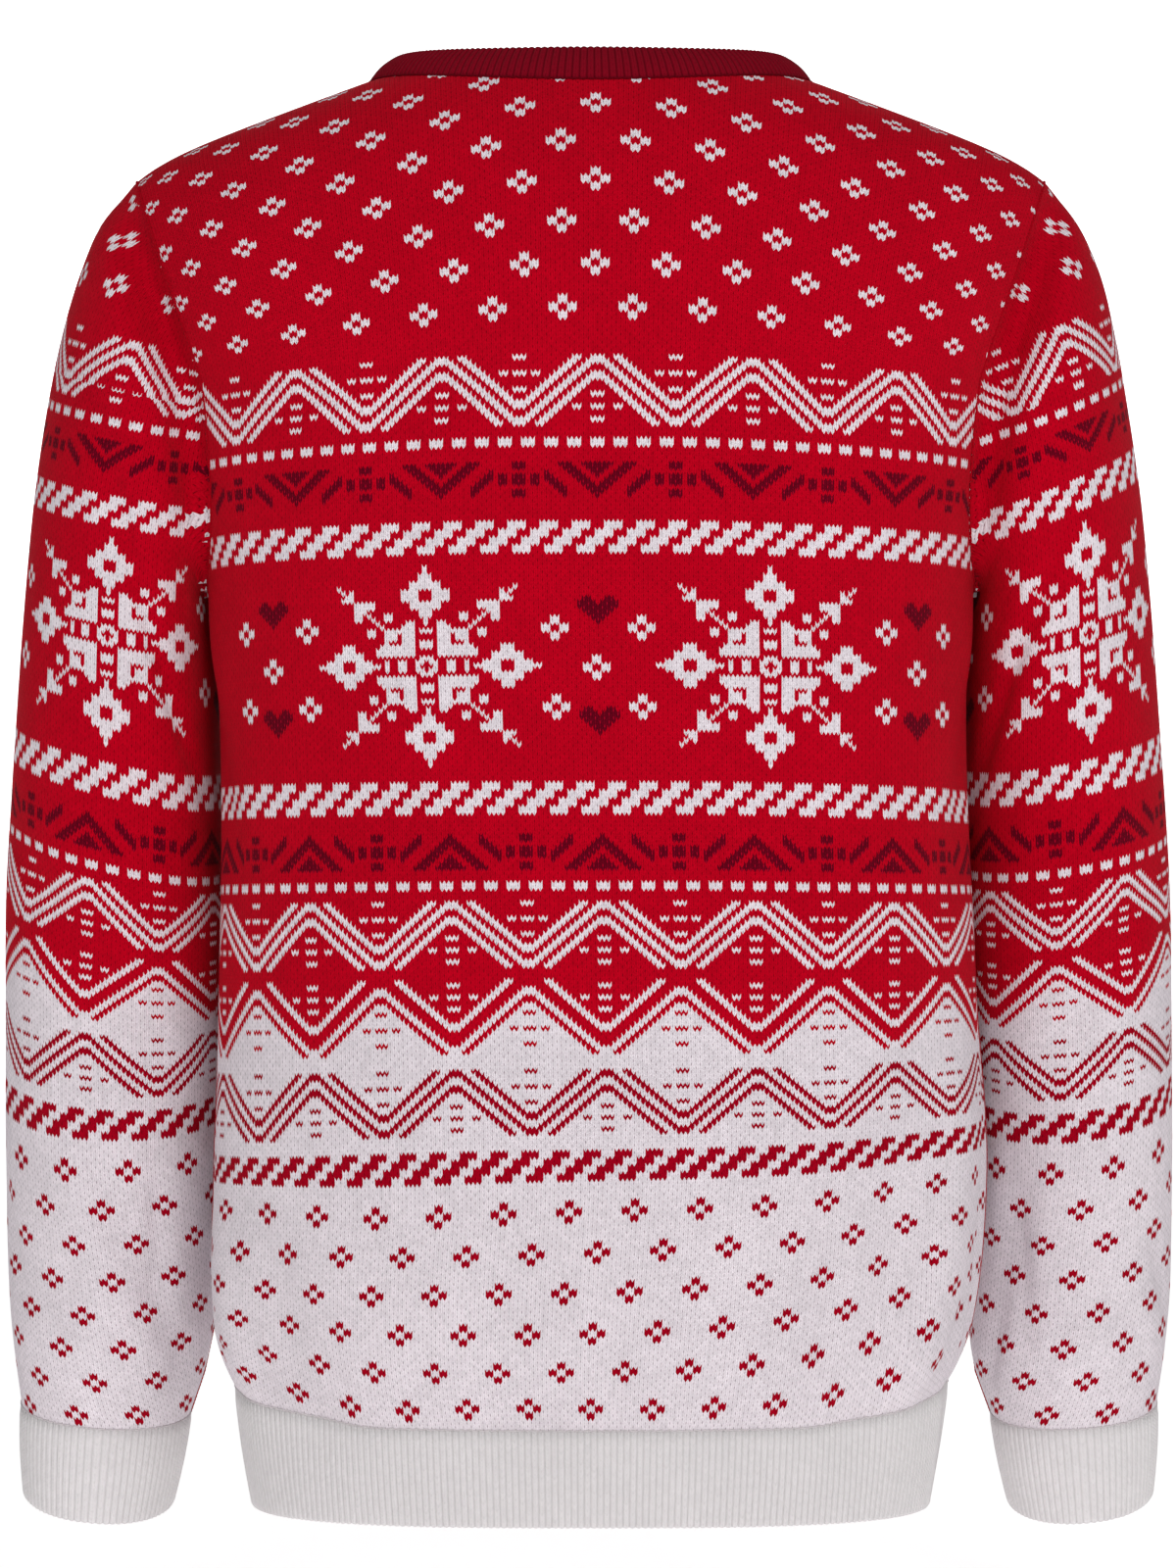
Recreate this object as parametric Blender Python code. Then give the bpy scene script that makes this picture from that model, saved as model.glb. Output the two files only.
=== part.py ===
"""Christmas sweater: a hollow crew-neck pullover in jacquard knit, standing as if it were filled out.

Frame: +Z up, the front faces -Y and +X is the wearer's left. The origin lies in the middle of the neck
opening, level with the points where the shoulder seams meet the collar.

The cloth is built as the pieces that are knitted and linked together: front, back, two sleeves, collar,
two halves of the hem rib and two cuffs. Each piece is one closed wall between an outer and an inner
surface. Neighbours share the polygon of their seam and stand SEAM_GAP apart.

The body surface has two coordinates. The share runs across from the middle of a panel, 0, to the side
seam, 1 or -1. The level runs up: 0 at the hem rib, 1 at the chest, 2 on the shoulder seam.
"""

import math
from collections import namedtuple

import bpy
import bmesh
import numpy as np

COLLECTION = "christmas_sweater"

# Cloth
SEAM_GAP = 0.0003
CLOTH_WALL = 0.0024
RIB_RISE = 0.0009
RIB_PITCH = 0.0034

# Body: heights below the shoulder points, and the shape of the yoke
HEM_TOP = -0.6435
HEM_SIDE_RISE = 0.012
HEM_RISE_FADES = 0.060
CHEST = -0.150
UNDERARM = -0.250
ARMHOLE_HALF_DEPTH = 0.055
ARMHOLE_TOP_WIDTH = 0.2215
BACK_ARCH = 2.3
FRONT_ARCH = 1.9
SHOULDER_LEAN = 0.9

# Shoulder line, from the neck out to the tip
NECK_HALF_WIDTH = 0.109
NECK_BACK_DEPTH = 0.075
NECK_FRONT_DEPTH = 0.098
SHOULDER_SLOPE = 0.375
SHOULDER_ROUNDING = 0.03
NECK_SLOPE = 0.40
NECK_ROUNDING = 0.09
TIP_DROP = 0.0060

# Collar, as the leaning of its upper edge from its seam
COLLAR_SIDE = (0.0123, 0.0125)
COLLAR_BACK = (0.0100, 0.0175)
COLLAR_FRONT = (0.0120, 0.0160)

# Hem rib, at its lower edge
HEM_BOTTOM = -0.6885
HEM_HALF_WIDTH = 0.1632
HEM_BACK_DEPTH = 0.1050
HEM_FRONT_DEPTH = 0.1020
HEM_SQUARENESS = 2.9

# Facets
NECK_STEPS = 6
SHOULDER_STEPS = 6
BODY_STEPS = 14
ARMHOLE_STEPS = 12
DENSE_ACROSS = 96
DENSE_LOW = 160
DENSE_HIGH = 64

# One row for each level section of the body, from the hem rib up to the chest. The body hangs a little
# to the wearer's right, by the shift of its sections.
Section = namedtuple("Section", "height half_width back_depth front_depth squareness shift")
BODY_SECTIONS = (
    Section(HEM_TOP, 0.1735, 0.1070, 0.1050, 2.60, 0.0000),
    Section(-0.6300, 0.1785, 0.1105, 0.1095, 2.55, 0.0000),
    Section(-0.6120, 0.1838, 0.1140, 0.1135, 2.50, -0.0002),
    Section(-0.5850, 0.1875, 0.1170, 0.1170, 2.45, -0.0015),
    Section(-0.5330, 0.1885, 0.1180, 0.1185, 2.40, -0.0045),
    Section(-0.4370, 0.1842, 0.1150, 0.1175, 2.40, -0.0035),
    Section(-0.2940, 0.1820, 0.1150, 0.1180, 2.40, -0.0008),
    Section(UNDERARM, 0.1842, 0.1160, 0.1180, 2.40, 0.0000),
    Section(CHEST, 0.2000, 0.1170, 0.1170, 2.40, 0.0000),
)

# One row for each soft fold of the body. Around runs from 0 at the middle of the back through 1 at the
# wearer's left side to 2 at the middle of the front, and from 0 to -2 over the right side. A fold is a
# ridge where its rise is above 0, and leans by its tilt in degrees from upright.
Fold = namedtuple("Fold", "around height half_length half_width tilt rise")
BODY_FOLDS = (
    Fold(0.60, -0.600, 0.050, 0.014, 18, -0.0045),
    Fold(0.76, -0.590, 0.055, 0.016, 12, 0.0040),
    Fold(0.95, -0.600, 0.045, 0.014, 4, -0.0050),
    Fold(-0.56, -0.575, 0.070, 0.013, -8, -0.0045),
    Fold(-0.71, -0.560, 0.080, 0.015, -10, 0.0045),
    Fold(-0.90, -0.570, 0.070, 0.014, -3, -0.0050),
    Fold(1.18, -0.580, 0.060, 0.016, -10, 0.0045),
    Fold(1.36, -0.590, 0.050, 0.014, -16, -0.0045),
    Fold(-1.12, -0.560, 0.065, 0.015, 6, 0.0040),
    Fold(-1.30, -0.585, 0.055, 0.014, 12, -0.0050),
    Fold(1.72, -0.605, 0.040, 0.016, -8, -0.0030),
    Fold(-1.80, -0.600, 0.045, 0.017, 10, -0.0030),
    Fold(0.88, -0.330, 0.060, 0.014, 24, -0.0030),
    Fold(-0.88, -0.325, 0.060, 0.014, -24, -0.0030),
    Fold(1.14, -0.335, 0.060, 0.014, -24, -0.0030),
    Fold(-1.14, -0.330, 0.060, 0.014, 24, -0.0030),
)
BODY_QUARTER = 0.25
FOLDS_END = -0.235
FOLDS_FADE = 0.060

# One row for each ring of a sleeve below its cap seam: the outer and inner ends of the ring as seen from
# the back, the place and half-depth of its middle, how far its back dips, and the facets up to it. The
# right sleeve's ends differ by the last two.
SleeveRing = namedtuple(
    "SleeveRing",
    "outer_x outer_z inner_x inner_z middle_y half_depth dip facets right_outer right_inner",
)
SLEEVE_RINGS = (
    SleeveRing(0.2390, -0.0685, 0.1868, -0.2446, 0.000, 0.0590, 0.000, 1, -0.0010, 0.0000),
    SleeveRing(0.2488, -0.0910, 0.1884, -0.2450, -0.002, 0.0615, 0.000, 1, -0.0005, 0.0000),
    SleeveRing(0.2584, -0.1215, 0.1890, -0.2490, -0.006, 0.0632, 0.001, 1, -0.0020, 0.0000),
    SleeveRing(0.2658, -0.1545, 0.1884, -0.2610, -0.011, 0.0643, 0.002, 1, -0.0030, 0.0000),
    SleeveRing(0.2730, -0.1970, 0.1866, -0.2840, -0.018, 0.0643, 0.004, 2, -0.0030, 0.0000),
    SleeveRing(0.2789, -0.2460, 0.1840, -0.3130, -0.027, 0.0634, 0.006, 2, -0.0030, 0.0003),
    SleeveRing(0.2850, -0.3120, 0.1812, -0.3590, -0.038, 0.0614, 0.009, 2, -0.0028, 0.0015),
    SleeveRing(0.2908, -0.3900, 0.1803, -0.4230, -0.048, 0.0594, 0.011, 2, -0.0025, 0.0040),
    SleeveRing(0.2924, -0.4650, 0.1820, -0.4950, -0.058, 0.0574, 0.012, 2, -0.0020, 0.0070),
    SleeveRing(0.2931, -0.5400, 0.1856, -0.5680, -0.068, 0.0534, 0.011, 2, -0.0015, 0.0070),
    SleeveRing(0.2914, -0.6130, 0.1936, -0.6310, -0.079, 0.0468, 0.009, 2, -0.0010, -0.0005),
    SleeveRing(0.2876, -0.6510, 0.2024, -0.6570, -0.086, 0.0374, 0.0075, 1, -0.0015, 0.0000),
)
CUFF_RING = SleeveRing(0.2874, -0.6965, 0.2121, -0.7030, -0.096, 0.0349, 0.0105, 1, -0.0025, 0.0000)
SLEEVE_SQUARENESS = 2.15
SLEEVE_RADIUS = 0.055
CAP_LEAVES = (0.003, 0.0003)

# One row for each soft fold of a sleeve. Around runs in degrees from the outer line over the back, and
# along runs from 0 at the cap seam to 1 at the cuff.
SleeveFold = namedtuple("SleeveFold", "around along half_length half_width tilt rise")
LEFT_FOLDS = (
    SleeveFold(120, 0.86, 0.030, 0.012, 30, -0.0040),
    SleeveFold(80, 0.80, 0.040, 0.014, 20, 0.0030),
    SleeveFold(60, 0.55, 0.035, 0.014, 60, -0.0030),
    SleeveFold(-70, 0.62, 0.040, 0.014, 70, -0.0040),
    SleeveFold(-110, 0.52, 0.035, 0.013, 60, -0.0040),
    SleeveFold(-60, 0.90, 0.030, 0.012, -30, -0.0030),
)
RIGHT_FOLDS = (
    SleeveFold(135, 0.80, 0.040, 0.012, 12, -0.0035),
    SleeveFold(95, 0.90, 0.030, 0.013, 35, 0.0030),
    SleeveFold(70, 0.58, 0.035, 0.014, 55, -0.0030),
    SleeveFold(-75, 0.60, 0.040, 0.014, 65, -0.0040),
    SleeveFold(-115, 0.50, 0.035, 0.013, 65, -0.0040),
    SleeveFold(-50, 0.88, 0.030, 0.012, -25, -0.0030),
)

# Colours of the yarns, as linear red, green and blue
RED_YARN = (0.42, 0.003, 0.014)
WHITE_YARN = (0.66, 0.58, 0.61)
WINE_YARN = (0.16, 0.004, 0.012)
RIB_YARN = (0.66, 0.64, 0.62)
YARN_ROUGHNESS = 0.9

Rim = namedtuple("Rim", "outer inner normal away")


def unit(vectors):
    """Scales each vector to a length of 1."""
    length = np.linalg.norm(vectors, axis=-1, keepdims=True)
    return vectors / np.maximum(length, 1e-12)


def smooth_column(rows, key, column, at):
    """Reads one column of a table at the places `at`, on a smooth curve through its rows."""
    places = np.array([getattr(row, key) for row in rows])
    values = np.array([getattr(row, column) for row in rows])
    slopes = np.gradient(values, places)
    low = np.clip(np.searchsorted(places, at) - 1, 0, len(places) - 2)
    step = places[low + 1] - places[low]
    t = (at - places[low]) / step
    start = (1 + 2 * t) * (1 - t) ** 2 * values[low] + t * (1 - t) ** 2 * step * slopes[low]
    end = t * t * (3 - 2 * t) * values[low + 1] + t * t * (t - 1) * step * slopes[low + 1]
    return start + end


def quarter_section(half_width, depth, squareness, shares):
    """Points at shares of the length of a rounded quarter, from its middle to its side."""
    angle = np.linspace(0, math.pi / 2, 241)
    x = half_width * np.sin(angle) ** (2 / squareness)
    y = depth * np.cos(angle) ** (2 / squareness)
    length = np.append(0, np.cumsum(np.hypot(np.diff(x), np.diff(y))))
    wanted = np.abs(shares) * length[-1]
    return np.sign(shares) * np.interp(wanted, length, x), np.interp(wanted, length, y)


def shoulder_height(x):
    """Height of the shoulder line at a distance from the middle."""
    beyond = np.clip((np.abs(x) - NECK_HALF_WIDTH) / (ARMHOLE_TOP_WIDTH - NECK_HALF_WIDTH), 0, None)
    neck = NECK_SLOPE * (math.hypot(NECK_HALF_WIDTH, NECK_ROUNDING) - np.hypot(x, NECK_ROUNDING))
    start = math.hypot(NECK_HALF_WIDTH, SHOULDER_ROUNDING)
    shoulder = SHOULDER_SLOPE * (start - np.hypot(x, SHOULDER_ROUNDING)) - TIP_DROP * beyond**8
    return np.where(beyond > 0, shoulder, neck)


def hem_rise(shares):
    """How far the lower edge of the body rises towards its sides."""
    t = np.clip((np.abs(shares) - 0.4) / 0.5, 0, 1)
    return HEM_SIDE_RISE * t * t * (3 - 2 * t)


def fold_rise(around, height, folds):
    """Sum of the body's folds at places around and up it."""
    total = np.zeros_like(height)
    for fold in folds:
        apart = (around - fold.around + 2) % 4 - 2
        across, up = apart * BODY_QUARTER, height - fold.height
        turn = math.radians(fold.tilt)
        along = up * math.cos(turn) + across * math.sin(turn)
        beside = across * math.cos(turn) - up * math.sin(turn)
        total += fold.rise * np.exp(-((beside / fold.half_width) ** 2) - (along / fold.half_length) ** 2)
    return total * np.clip((FOLDS_END - height) / FOLDS_FADE, 0, 1)


class BodySurface:
    """The outer surface of the back, side 1, or of the front, side -1, as a dense grid of points."""

    def __init__(self, side):
        self.side = side
        self.shares = np.linspace(-1, 1, 2 * DENSE_ACROSS + 1)
        low = np.linspace(0, 1, DENSE_LOW + 1)
        high = np.linspace(0, 1, DENSE_HIGH + 1)[1:]
        self.levels = np.append(low, 1 + high)
        self.edge_share = self.share_at_depth(CHEST, ARMHOLE_HALF_DEPTH)
        rows = [self.low_row(HEM_TOP + level * (CHEST - HEM_TOP)) for level in low]
        rows += [self.high_row(part * math.pi / 2) for part in high]
        flat = np.array(rows)
        self.normals = self.find_normals(flat)
        self.points = flat + self.normals * self.folds(flat)[..., None]
        self.normals = self.find_normals(self.points)

    def depth_at(self, height):
        column = "back_depth" if self.side > 0 else "front_depth"
        return smooth_column(BODY_SECTIONS, "height", column, height)

    def section(self, height, shares):
        half_width = smooth_column(BODY_SECTIONS, "height", "half_width", height)
        squareness = smooth_column(BODY_SECTIONS, "height", "squareness", height)
        return quarter_section(half_width, self.depth_at(height), squareness, shares)

    def share_at_depth(self, height, depth):
        """The share where a section comes down to a depth, towards the side seam."""
        shares = np.linspace(0, 1, 2001)
        y = self.section(height, shares)[1]
        return float(np.interp(-depth, -y, shares))

    def low_row(self, height):
        x, y = self.section(height, self.shares)
        x = x + smooth_column(BODY_SECTIONS, "height", "shift", height)
        fade = max(0.0, 1 - (height - HEM_TOP) / HEM_RISE_FADES) ** 2
        z = height + hem_rise(self.shares) * fade
        return np.stack([x, self.side * y, z], axis=-1)

    def high_row(self, angle):
        """A row of the yoke, where each wale bends over to the shoulder line."""
        x, y = self.section(CHEST, self.shares)
        edge_x = float(self.section(CHEST, np.array([self.edge_share]))[0][0])
        spread = ARMHOLE_TOP_WIDTH / edge_x - 1
        top_x = x * (1 + spread)
        x = x * (1 + spread * math.sin(angle) ** SHOULDER_LEAN)
        bend = 2 / (BACK_ARCH if self.side > 0 else FRONT_ARCH)
        y = y * max(math.cos(angle), 0.0) ** bend
        z = CHEST + (shoulder_height(top_x) - CHEST) * math.sin(angle) ** bend
        return np.stack([x, self.side * y, z], axis=-1)

    def folds(self, points):
        around = np.broadcast_to(self.shares, points.shape[:2])
        if self.side < 0:
            around = np.where(around < 0, -2 - around, 2 - around)
        return fold_rise(around, points[..., 2], BODY_FOLDS)

    def find_normals(self, points):
        """Outward normals, level with the side seams and shoulder seams on their lines."""
        across = np.gradient(points, self.shares, axis=1)
        up = np.gradient(points, self.levels, axis=0)
        normals = unit(np.cross(up, across)) * self.side
        flat = np.abs(points[..., 1]) < 1e-6
        normals[flat, 1] = 0
        return unit(normals)

    def read(self, grid, share, level):
        """Reads a dense grid between its points."""
        column = np.clip((np.asarray(share) + 1) * DENSE_ACROSS, 0, 2 * DENSE_ACROSS - 1e-9)
        level = np.asarray(level, float)
        low = level * DENSE_LOW
        high = DENSE_LOW + (level - 1) * DENSE_HIGH
        row = np.clip(np.where(level < 1, low, high), 0, DENSE_LOW + DENSE_HIGH - 1e-9)
        i, j = row.astype(int), column.astype(int)
        a, b = (row - i)[..., None], (column - j)[..., None]
        first = grid[i, j] * (1 - b) + grid[i, j + 1] * b
        second = grid[i + 1, j] * (1 - b) + grid[i + 1, j + 1] * b
        return first * (1 - a) + second * a

    def at(self, share, level):
        return self.read(self.points, share, level)

    def normal_at(self, share, level):
        return unit(self.read(self.normals, share, level))


def solve(function, low, high):
    """The place between low and high where a falling function crosses 0."""
    for _ in range(40):
        middle = (low + high) / 2
        if function(middle) > 0:
            low = middle
        else:
            high = middle
    return (low + high) / 2


def neck_column(surface, angle):
    """The share and level of the neck edge at an angle from the middle."""
    depth = NECK_BACK_DEPTH if surface.side > 0 else NECK_FRONT_DEPTH
    x, y = NECK_HALF_WIDTH * math.sin(angle), depth * math.cos(angle)
    if y < 1e-6:
        return solve(lambda share: x - surface.at(share, 2.0)[0], 0.0, 1.0), 2.0

    def level_at(share):
        return solve(lambda level: abs(surface.at(share, level)[1]) - y, 1.0, 2.0)

    share = solve(lambda s: x - surface.at(s, level_at(s))[0], 0.0, 1.0)
    return share, level_at(share)


def panel_columns(surface):
    """The shares of one half's columns on the top edge, and the level that each one ends at."""
    neck = [neck_column(surface, math.pi / 2 * k / NECK_STEPS) for k in range(NECK_STEPS + 1)]
    neck[0] = (0.0, neck[0][1])
    start = neck[-1][0]
    step = (surface.edge_share - start) / SHOULDER_STEPS
    shoulder = [(start + step * k, 2.0) for k in range(1, SHOULDER_STEPS + 1)]
    half = neck + shoulder
    return [(-share, level) for share, level in half[:0:-1]] + half


def edge_rows(surface):
    """The share and level of a panel's edge at each row: up the side seam, then up the armhole."""
    underarm_level = (UNDERARM - HEM_TOP) / (CHEST - HEM_TOP)
    rows = [(1.0, underarm_level * k / BODY_STEPS) for k in range(BODY_STEPS)]
    half = ARMHOLE_STEPS // 2
    for k in range(half + 1):
        angle = math.pi / 2 * k / half
        height = CHEST - (CHEST - UNDERARM) * math.cos(angle)
        share = surface.share_at_depth(height, ARMHOLE_HALF_DEPTH * math.sin(angle))
        rows.append((share if k else 1.0, (height - HEM_TOP) / (CHEST - HEM_TOP)))
    rows += [(surface.edge_share, 1 + k / half) for k in range(1, half + 1)]
    return rows


def panel_grid(surface):
    """The outer points and normals of a panel: rows from the hem up, columns from -X to +X."""
    columns = panel_columns(surface)
    rows = edge_rows(surface)
    underarm = rows[BODY_STEPS][1]
    shares, levels = np.zeros((len(rows), len(columns))), np.zeros((len(rows), len(columns)))
    for i, (edge, level) in enumerate(rows):
        for j, (share, top) in enumerate(columns):
            shares[i, j] = edge * share / surface.edge_share
            above = max(0.0, level - underarm) * (top - underarm) / (2 - underarm)
            levels[i, j] = min(level, underarm) + above
    points, normals = surface.at(shares, levels), surface.normal_at(shares, levels)
    on_seam = np.abs(points[..., 1]) < 1e-5
    points[on_seam, 1] = 0
    normals[on_seam, 1] = 0
    return points, unit(normals)


def seam_rim(points, normals, towards):
    """A closed seam: its outer and inner polygon, and the way off the cloth at each of its points."""
    along = np.roll(points, -1, axis=0) - np.roll(points, 1, axis=0)
    away = unit(np.cross(along, normals))
    away *= np.sign(np.sum(away * (towards - points), axis=-1).mean())
    return Rim(points, points - normals * CLOTH_WALL, normals, away)


def step_off(rim, distance):
    """The same polygon moved off the cloth's edge."""
    shift = rim.away * distance
    return Rim(rim.outer + shift, rim.inner + shift, rim.normal, rim.away)


def add_material(name, colour):
    material = bpy.data.materials.new(name)
    material.use_nodes = True
    shader = material.node_tree.nodes["Principled BSDF"]
    shader.inputs["Base Color"].default_value = (*colour, 1)
    shader.inputs["Roughness"].default_value = YARN_ROUGHNESS
    shader.inputs["Metallic"].default_value = 0
    material.diffuse_color = (*colour, 1)
    return material


def add_object(name, bm, colour, collection):
    """Makes a named object of its own material from a closed mesh."""
    bmesh.ops.recalc_face_normals(bm, faces=bm.faces)
    if bm.calc_volume(signed=True) < 0:
        bmesh.ops.reverse_faces(bm, faces=bm.faces)
    mesh = bpy.data.meshes.new(name)
    bm.to_mesh(mesh)
    bm.free()
    mesh.shade_smooth()
    mesh.materials.append(add_material(name + "_yarn", colour))
    piece = bpy.data.objects.new(name, mesh)
    collection.objects.link(piece)
    return piece


def add_grid_faces(bm, grid, around):
    """Joins the vertices of a grid with quads, and closes it round where around is set."""
    rows, columns = len(grid), len(grid[0])
    for i in range(rows - 1):
        for j in range(columns if around else columns - 1):
            k = (j + 1) % columns
            bm.faces.new((grid[i][j], grid[i][k], grid[i + 1][k], grid[i + 1][j]))


def add_points(bm, points):
    return [bm.verts.new(point) for point in points]


def cloth_wall(outer, inner, around):
    """A closed wall between two grids of points of the same size."""
    bm = bmesh.new()
    out = [add_points(bm, row) for row in outer]
    back = [add_points(bm, row) for row in inner]
    add_grid_faces(bm, out, around)
    add_grid_faces(bm, back, around)
    add_grid_faces(bm, [out[0], back[0]], around)
    add_grid_faces(bm, [out[-1], back[-1]], around)
    if not around:
        add_grid_faces(bm, [[row[0] for row in out], [row[0] for row in back]], False)
        add_grid_faces(bm, [[row[-1] for row in out], [row[-1] for row in back]], False)
    return bm


def sample_row(places, points, at):
    return np.stack([np.interp(at, places, points[:, k]) for k in range(3)], axis=-1)


def ribbed_wall(edges, facings, places, count, around):
    """A band of cloth with upright ribs raised from its outer side over a plain inside.

    Each of its two edges has the outer and inner points of its polygon, at places along it. A rib is a
    facet up and a facet down, and one point of the plain inside stands behind every second rib.
    """
    bm = bmesh.new()
    fine_at = np.linspace(places[0], places[-1], 2 * count + 1)
    rise = np.where(np.arange(2 * count + 1) % 2 == 1, RIB_RISE, 0.0)[:, None]
    rows, plain = [], []
    for (outer, inner), facing in zip(edges, facings):
        out = sample_row(places, outer, fine_at) + unit(sample_row(places, facing, fine_at)) * rise
        back = sample_row(places, inner, fine_at[::4])
        row = add_points(bm, out[:-1] if around else out)
        rows.append(row + row[:1] if around else row)
        row = add_points(bm, back[:-1] if around else back)
        plain.append(row + row[:1] if around else row)
    add_grid_faces(bm, rows, False)
    add_grid_faces(bm, plain, False)
    for fine, coarse in zip(rows, plain):
        for k in range(len(coarse) - 1):
            behind, ahead, ribs = coarse[k], coarse[k + 1], fine[4 * k : 4 * k + 5]
            bm.faces.new((behind, ribs[0], ribs[1]))
            bm.faces.new((behind, ribs[1], ribs[2]))
            bm.faces.new((behind, ribs[2], ahead))
            bm.faces.new((ahead, ribs[2], ribs[3]))
            bm.faces.new((ahead, ribs[3], ribs[4]))
    if not around:
        for end in (0, -1):
            bm.faces.new((rows[0][end], rows[1][end], plain[1][end], plain[0][end]))
    return bm


def closed(ring):
    """A ring of points with its first one again at the end."""
    return np.append(ring, ring[:1], axis=0)


def closed_places(points):
    """Distances along a closed polygon, with the whole way round as the last one."""
    steps = np.linalg.norm(np.roll(points, -1, axis=0) - points, axis=1)
    return np.append(0, np.cumsum(steps))


def rib_count(length):
    """An even number of ribs."""
    return 2 * max(4, round(length / RIB_PITCH / 2))


def shifted(points, offset):
    """The points with those on the front-to-back middle plane moved by an offset along Y."""
    moved = points.copy()
    moved[np.abs(moved[..., 1]) < 1e-5, 1] = offset
    return moved


def build_panel(name, points, normals, side, collection):
    outer = shifted(points, side * SEAM_GAP / 2)
    inner = points - normals * CLOTH_WALL
    inner = shifted(inner, side * SEAM_GAP / 2)
    add_object(name, cloth_wall(outer, inner, False), RED_YARN, collection)


def loop_of(back, front):
    """Joins a row of the back, from -X to +X, and the same row of the front into one ring."""
    return np.concatenate([back, front[-2:0:-1]])


def hem_shares(surface):
    """The shares of a panel's columns at its lower edge."""
    return np.array([share for share, _ in panel_columns(surface)]) / surface.edge_share


def build_hem(back, front, shares, collection):
    """The hem rib, as a back half and a front half that meet at the side seams."""
    points, normals = (loop_of(b[0], f[0]) for b, f in zip(back, front))
    below = np.array([0, 0, HEM_BOTTOM])
    rim = step_off(seam_rim(points, normals, points * [1, 1, 0] + below), SEAM_GAP)
    columns = len(back[0][0])
    halves = (
        ("hem_rib_back", 1, HEM_BACK_DEPTH, np.arange(columns)),
        ("hem_rib_front", -1, HEM_FRONT_DEPTH, np.append(0, np.arange(len(points) - 1, columns - 2, -1))),
    )
    for (name, side, depth, chosen), places in zip(halves, shares):
        outer, inner, facing = rim.outer[chosen], rim.inner[chosen], rim.normal[chosen]
        x, y = quarter_section(HEM_HALF_WIDTH, depth, HEM_SQUARENESS, places)
        low = np.stack([x, side * y, np.full_like(x, HEM_BOTTOM)], axis=-1)
        tangent = np.gradient(low, places, axis=0)
        low_normals = unit(np.cross([0, 0, 1.0], tangent)) * side
        low_normals[[0, -1], 1] = 0
        low_normals = unit(low_normals)
        offset = side * SEAM_GAP / 2
        tops = (shifted(outer, offset), shifted(inner, offset))
        bottoms = (shifted(low, offset), shifted(low - low_normals * CLOTH_WALL, offset))
        length = np.linalg.norm(np.diff(outer, axis=0), axis=1).sum()
        bm = ribbed_wall((tops, bottoms), (facing, low_normals), places, rib_count(length), False)
        add_object(name, bm, RIB_YARN, collection)


def collar_lean(angle):
    """How far the collar's upper edge stands in and up from its seam, at an angle from the side."""
    side, end = np.cos(angle) ** 2, np.sin(angle) ** 2
    lean = np.where(np.sin(angle) > 0, COLLAR_BACK[0], COLLAR_FRONT[0])
    rise = np.where(np.sin(angle) > 0, COLLAR_BACK[1], COLLAR_FRONT[1])
    return COLLAR_SIDE[0] * side + lean * end, COLLAR_SIDE[1] * side + rise * end


def build_collar(back, front, collection):
    """The neck rib, round the edge that the two panels leave open."""
    first = (len(back[0][0]) - 1) // 2 - NECK_STEPS
    chosen = slice(first, first + 2 * NECK_STEPS + 1)
    points, normals = (loop_of(b[-1][chosen], f[-1][chosen]) for b, f in zip(back, front))
    middle = points.mean(axis=0)
    rim = step_off(seam_rim(points, normals, middle), SEAM_GAP)
    angle = np.arctan2(points[:, 1], points[:, 0])
    lean, rise = collar_lean(angle)
    inwards = unit((middle - points) * [1, 1, 0])
    upper = rim.outer + inwards * lean[:, None] + np.array([0, 0, 1]) * rise[:, None]
    along = np.roll(upper, -1, axis=0) - np.roll(upper, 1, axis=0)
    facing = unit(np.cross(along, upper - rim.outer))
    facing *= np.sign(np.sum(facing * rim.normal, axis=-1))[:, None]
    tops = (closed(upper), closed(upper - facing * CLOTH_WALL))
    bottoms = (closed(rim.outer), closed(rim.inner))
    places = closed_places(rim.outer)
    facings = (closed(facing), closed(rim.normal))
    bm = ribbed_wall((tops, bottoms), facings, places, rib_count(places[-1]), True)
    add_object("neck_rib", bm, WINE_YARN, collection)


def armhole_rim(back, front):
    """The armhole at +X: from the shoulder tip down its back edge and up its front edge."""
    rows = slice(BODY_STEPS, None)
    points, normals = (
        np.concatenate([b[rows, -1][::-1], f[rows, -1][1:-1]]) for b, f in zip(back, front)
    )
    return seam_rim(points, normals, points.mean(axis=0))


def ring_points(ring, angle):
    """A sleeve ring's points at +X. The angle is 0 on the outer line and runs over the back."""
    bend = 2 / SLEEVE_SQUARENESS
    out = np.sign(np.cos(angle)) * np.abs(np.cos(angle)) ** bend
    deep = np.sign(np.sin(angle)) * np.abs(np.sin(angle)) ** bend
    x = (ring.outer_x + ring.inner_x) / 2 + (ring.outer_x - ring.inner_x) / 2 * out
    z = (ring.outer_z + ring.inner_z) / 2 + (ring.outer_z - ring.inner_z) / 2 * out - ring.dip * deep
    return np.stack([x, ring.middle_y + ring.half_depth * deep, z], axis=-1)


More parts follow.
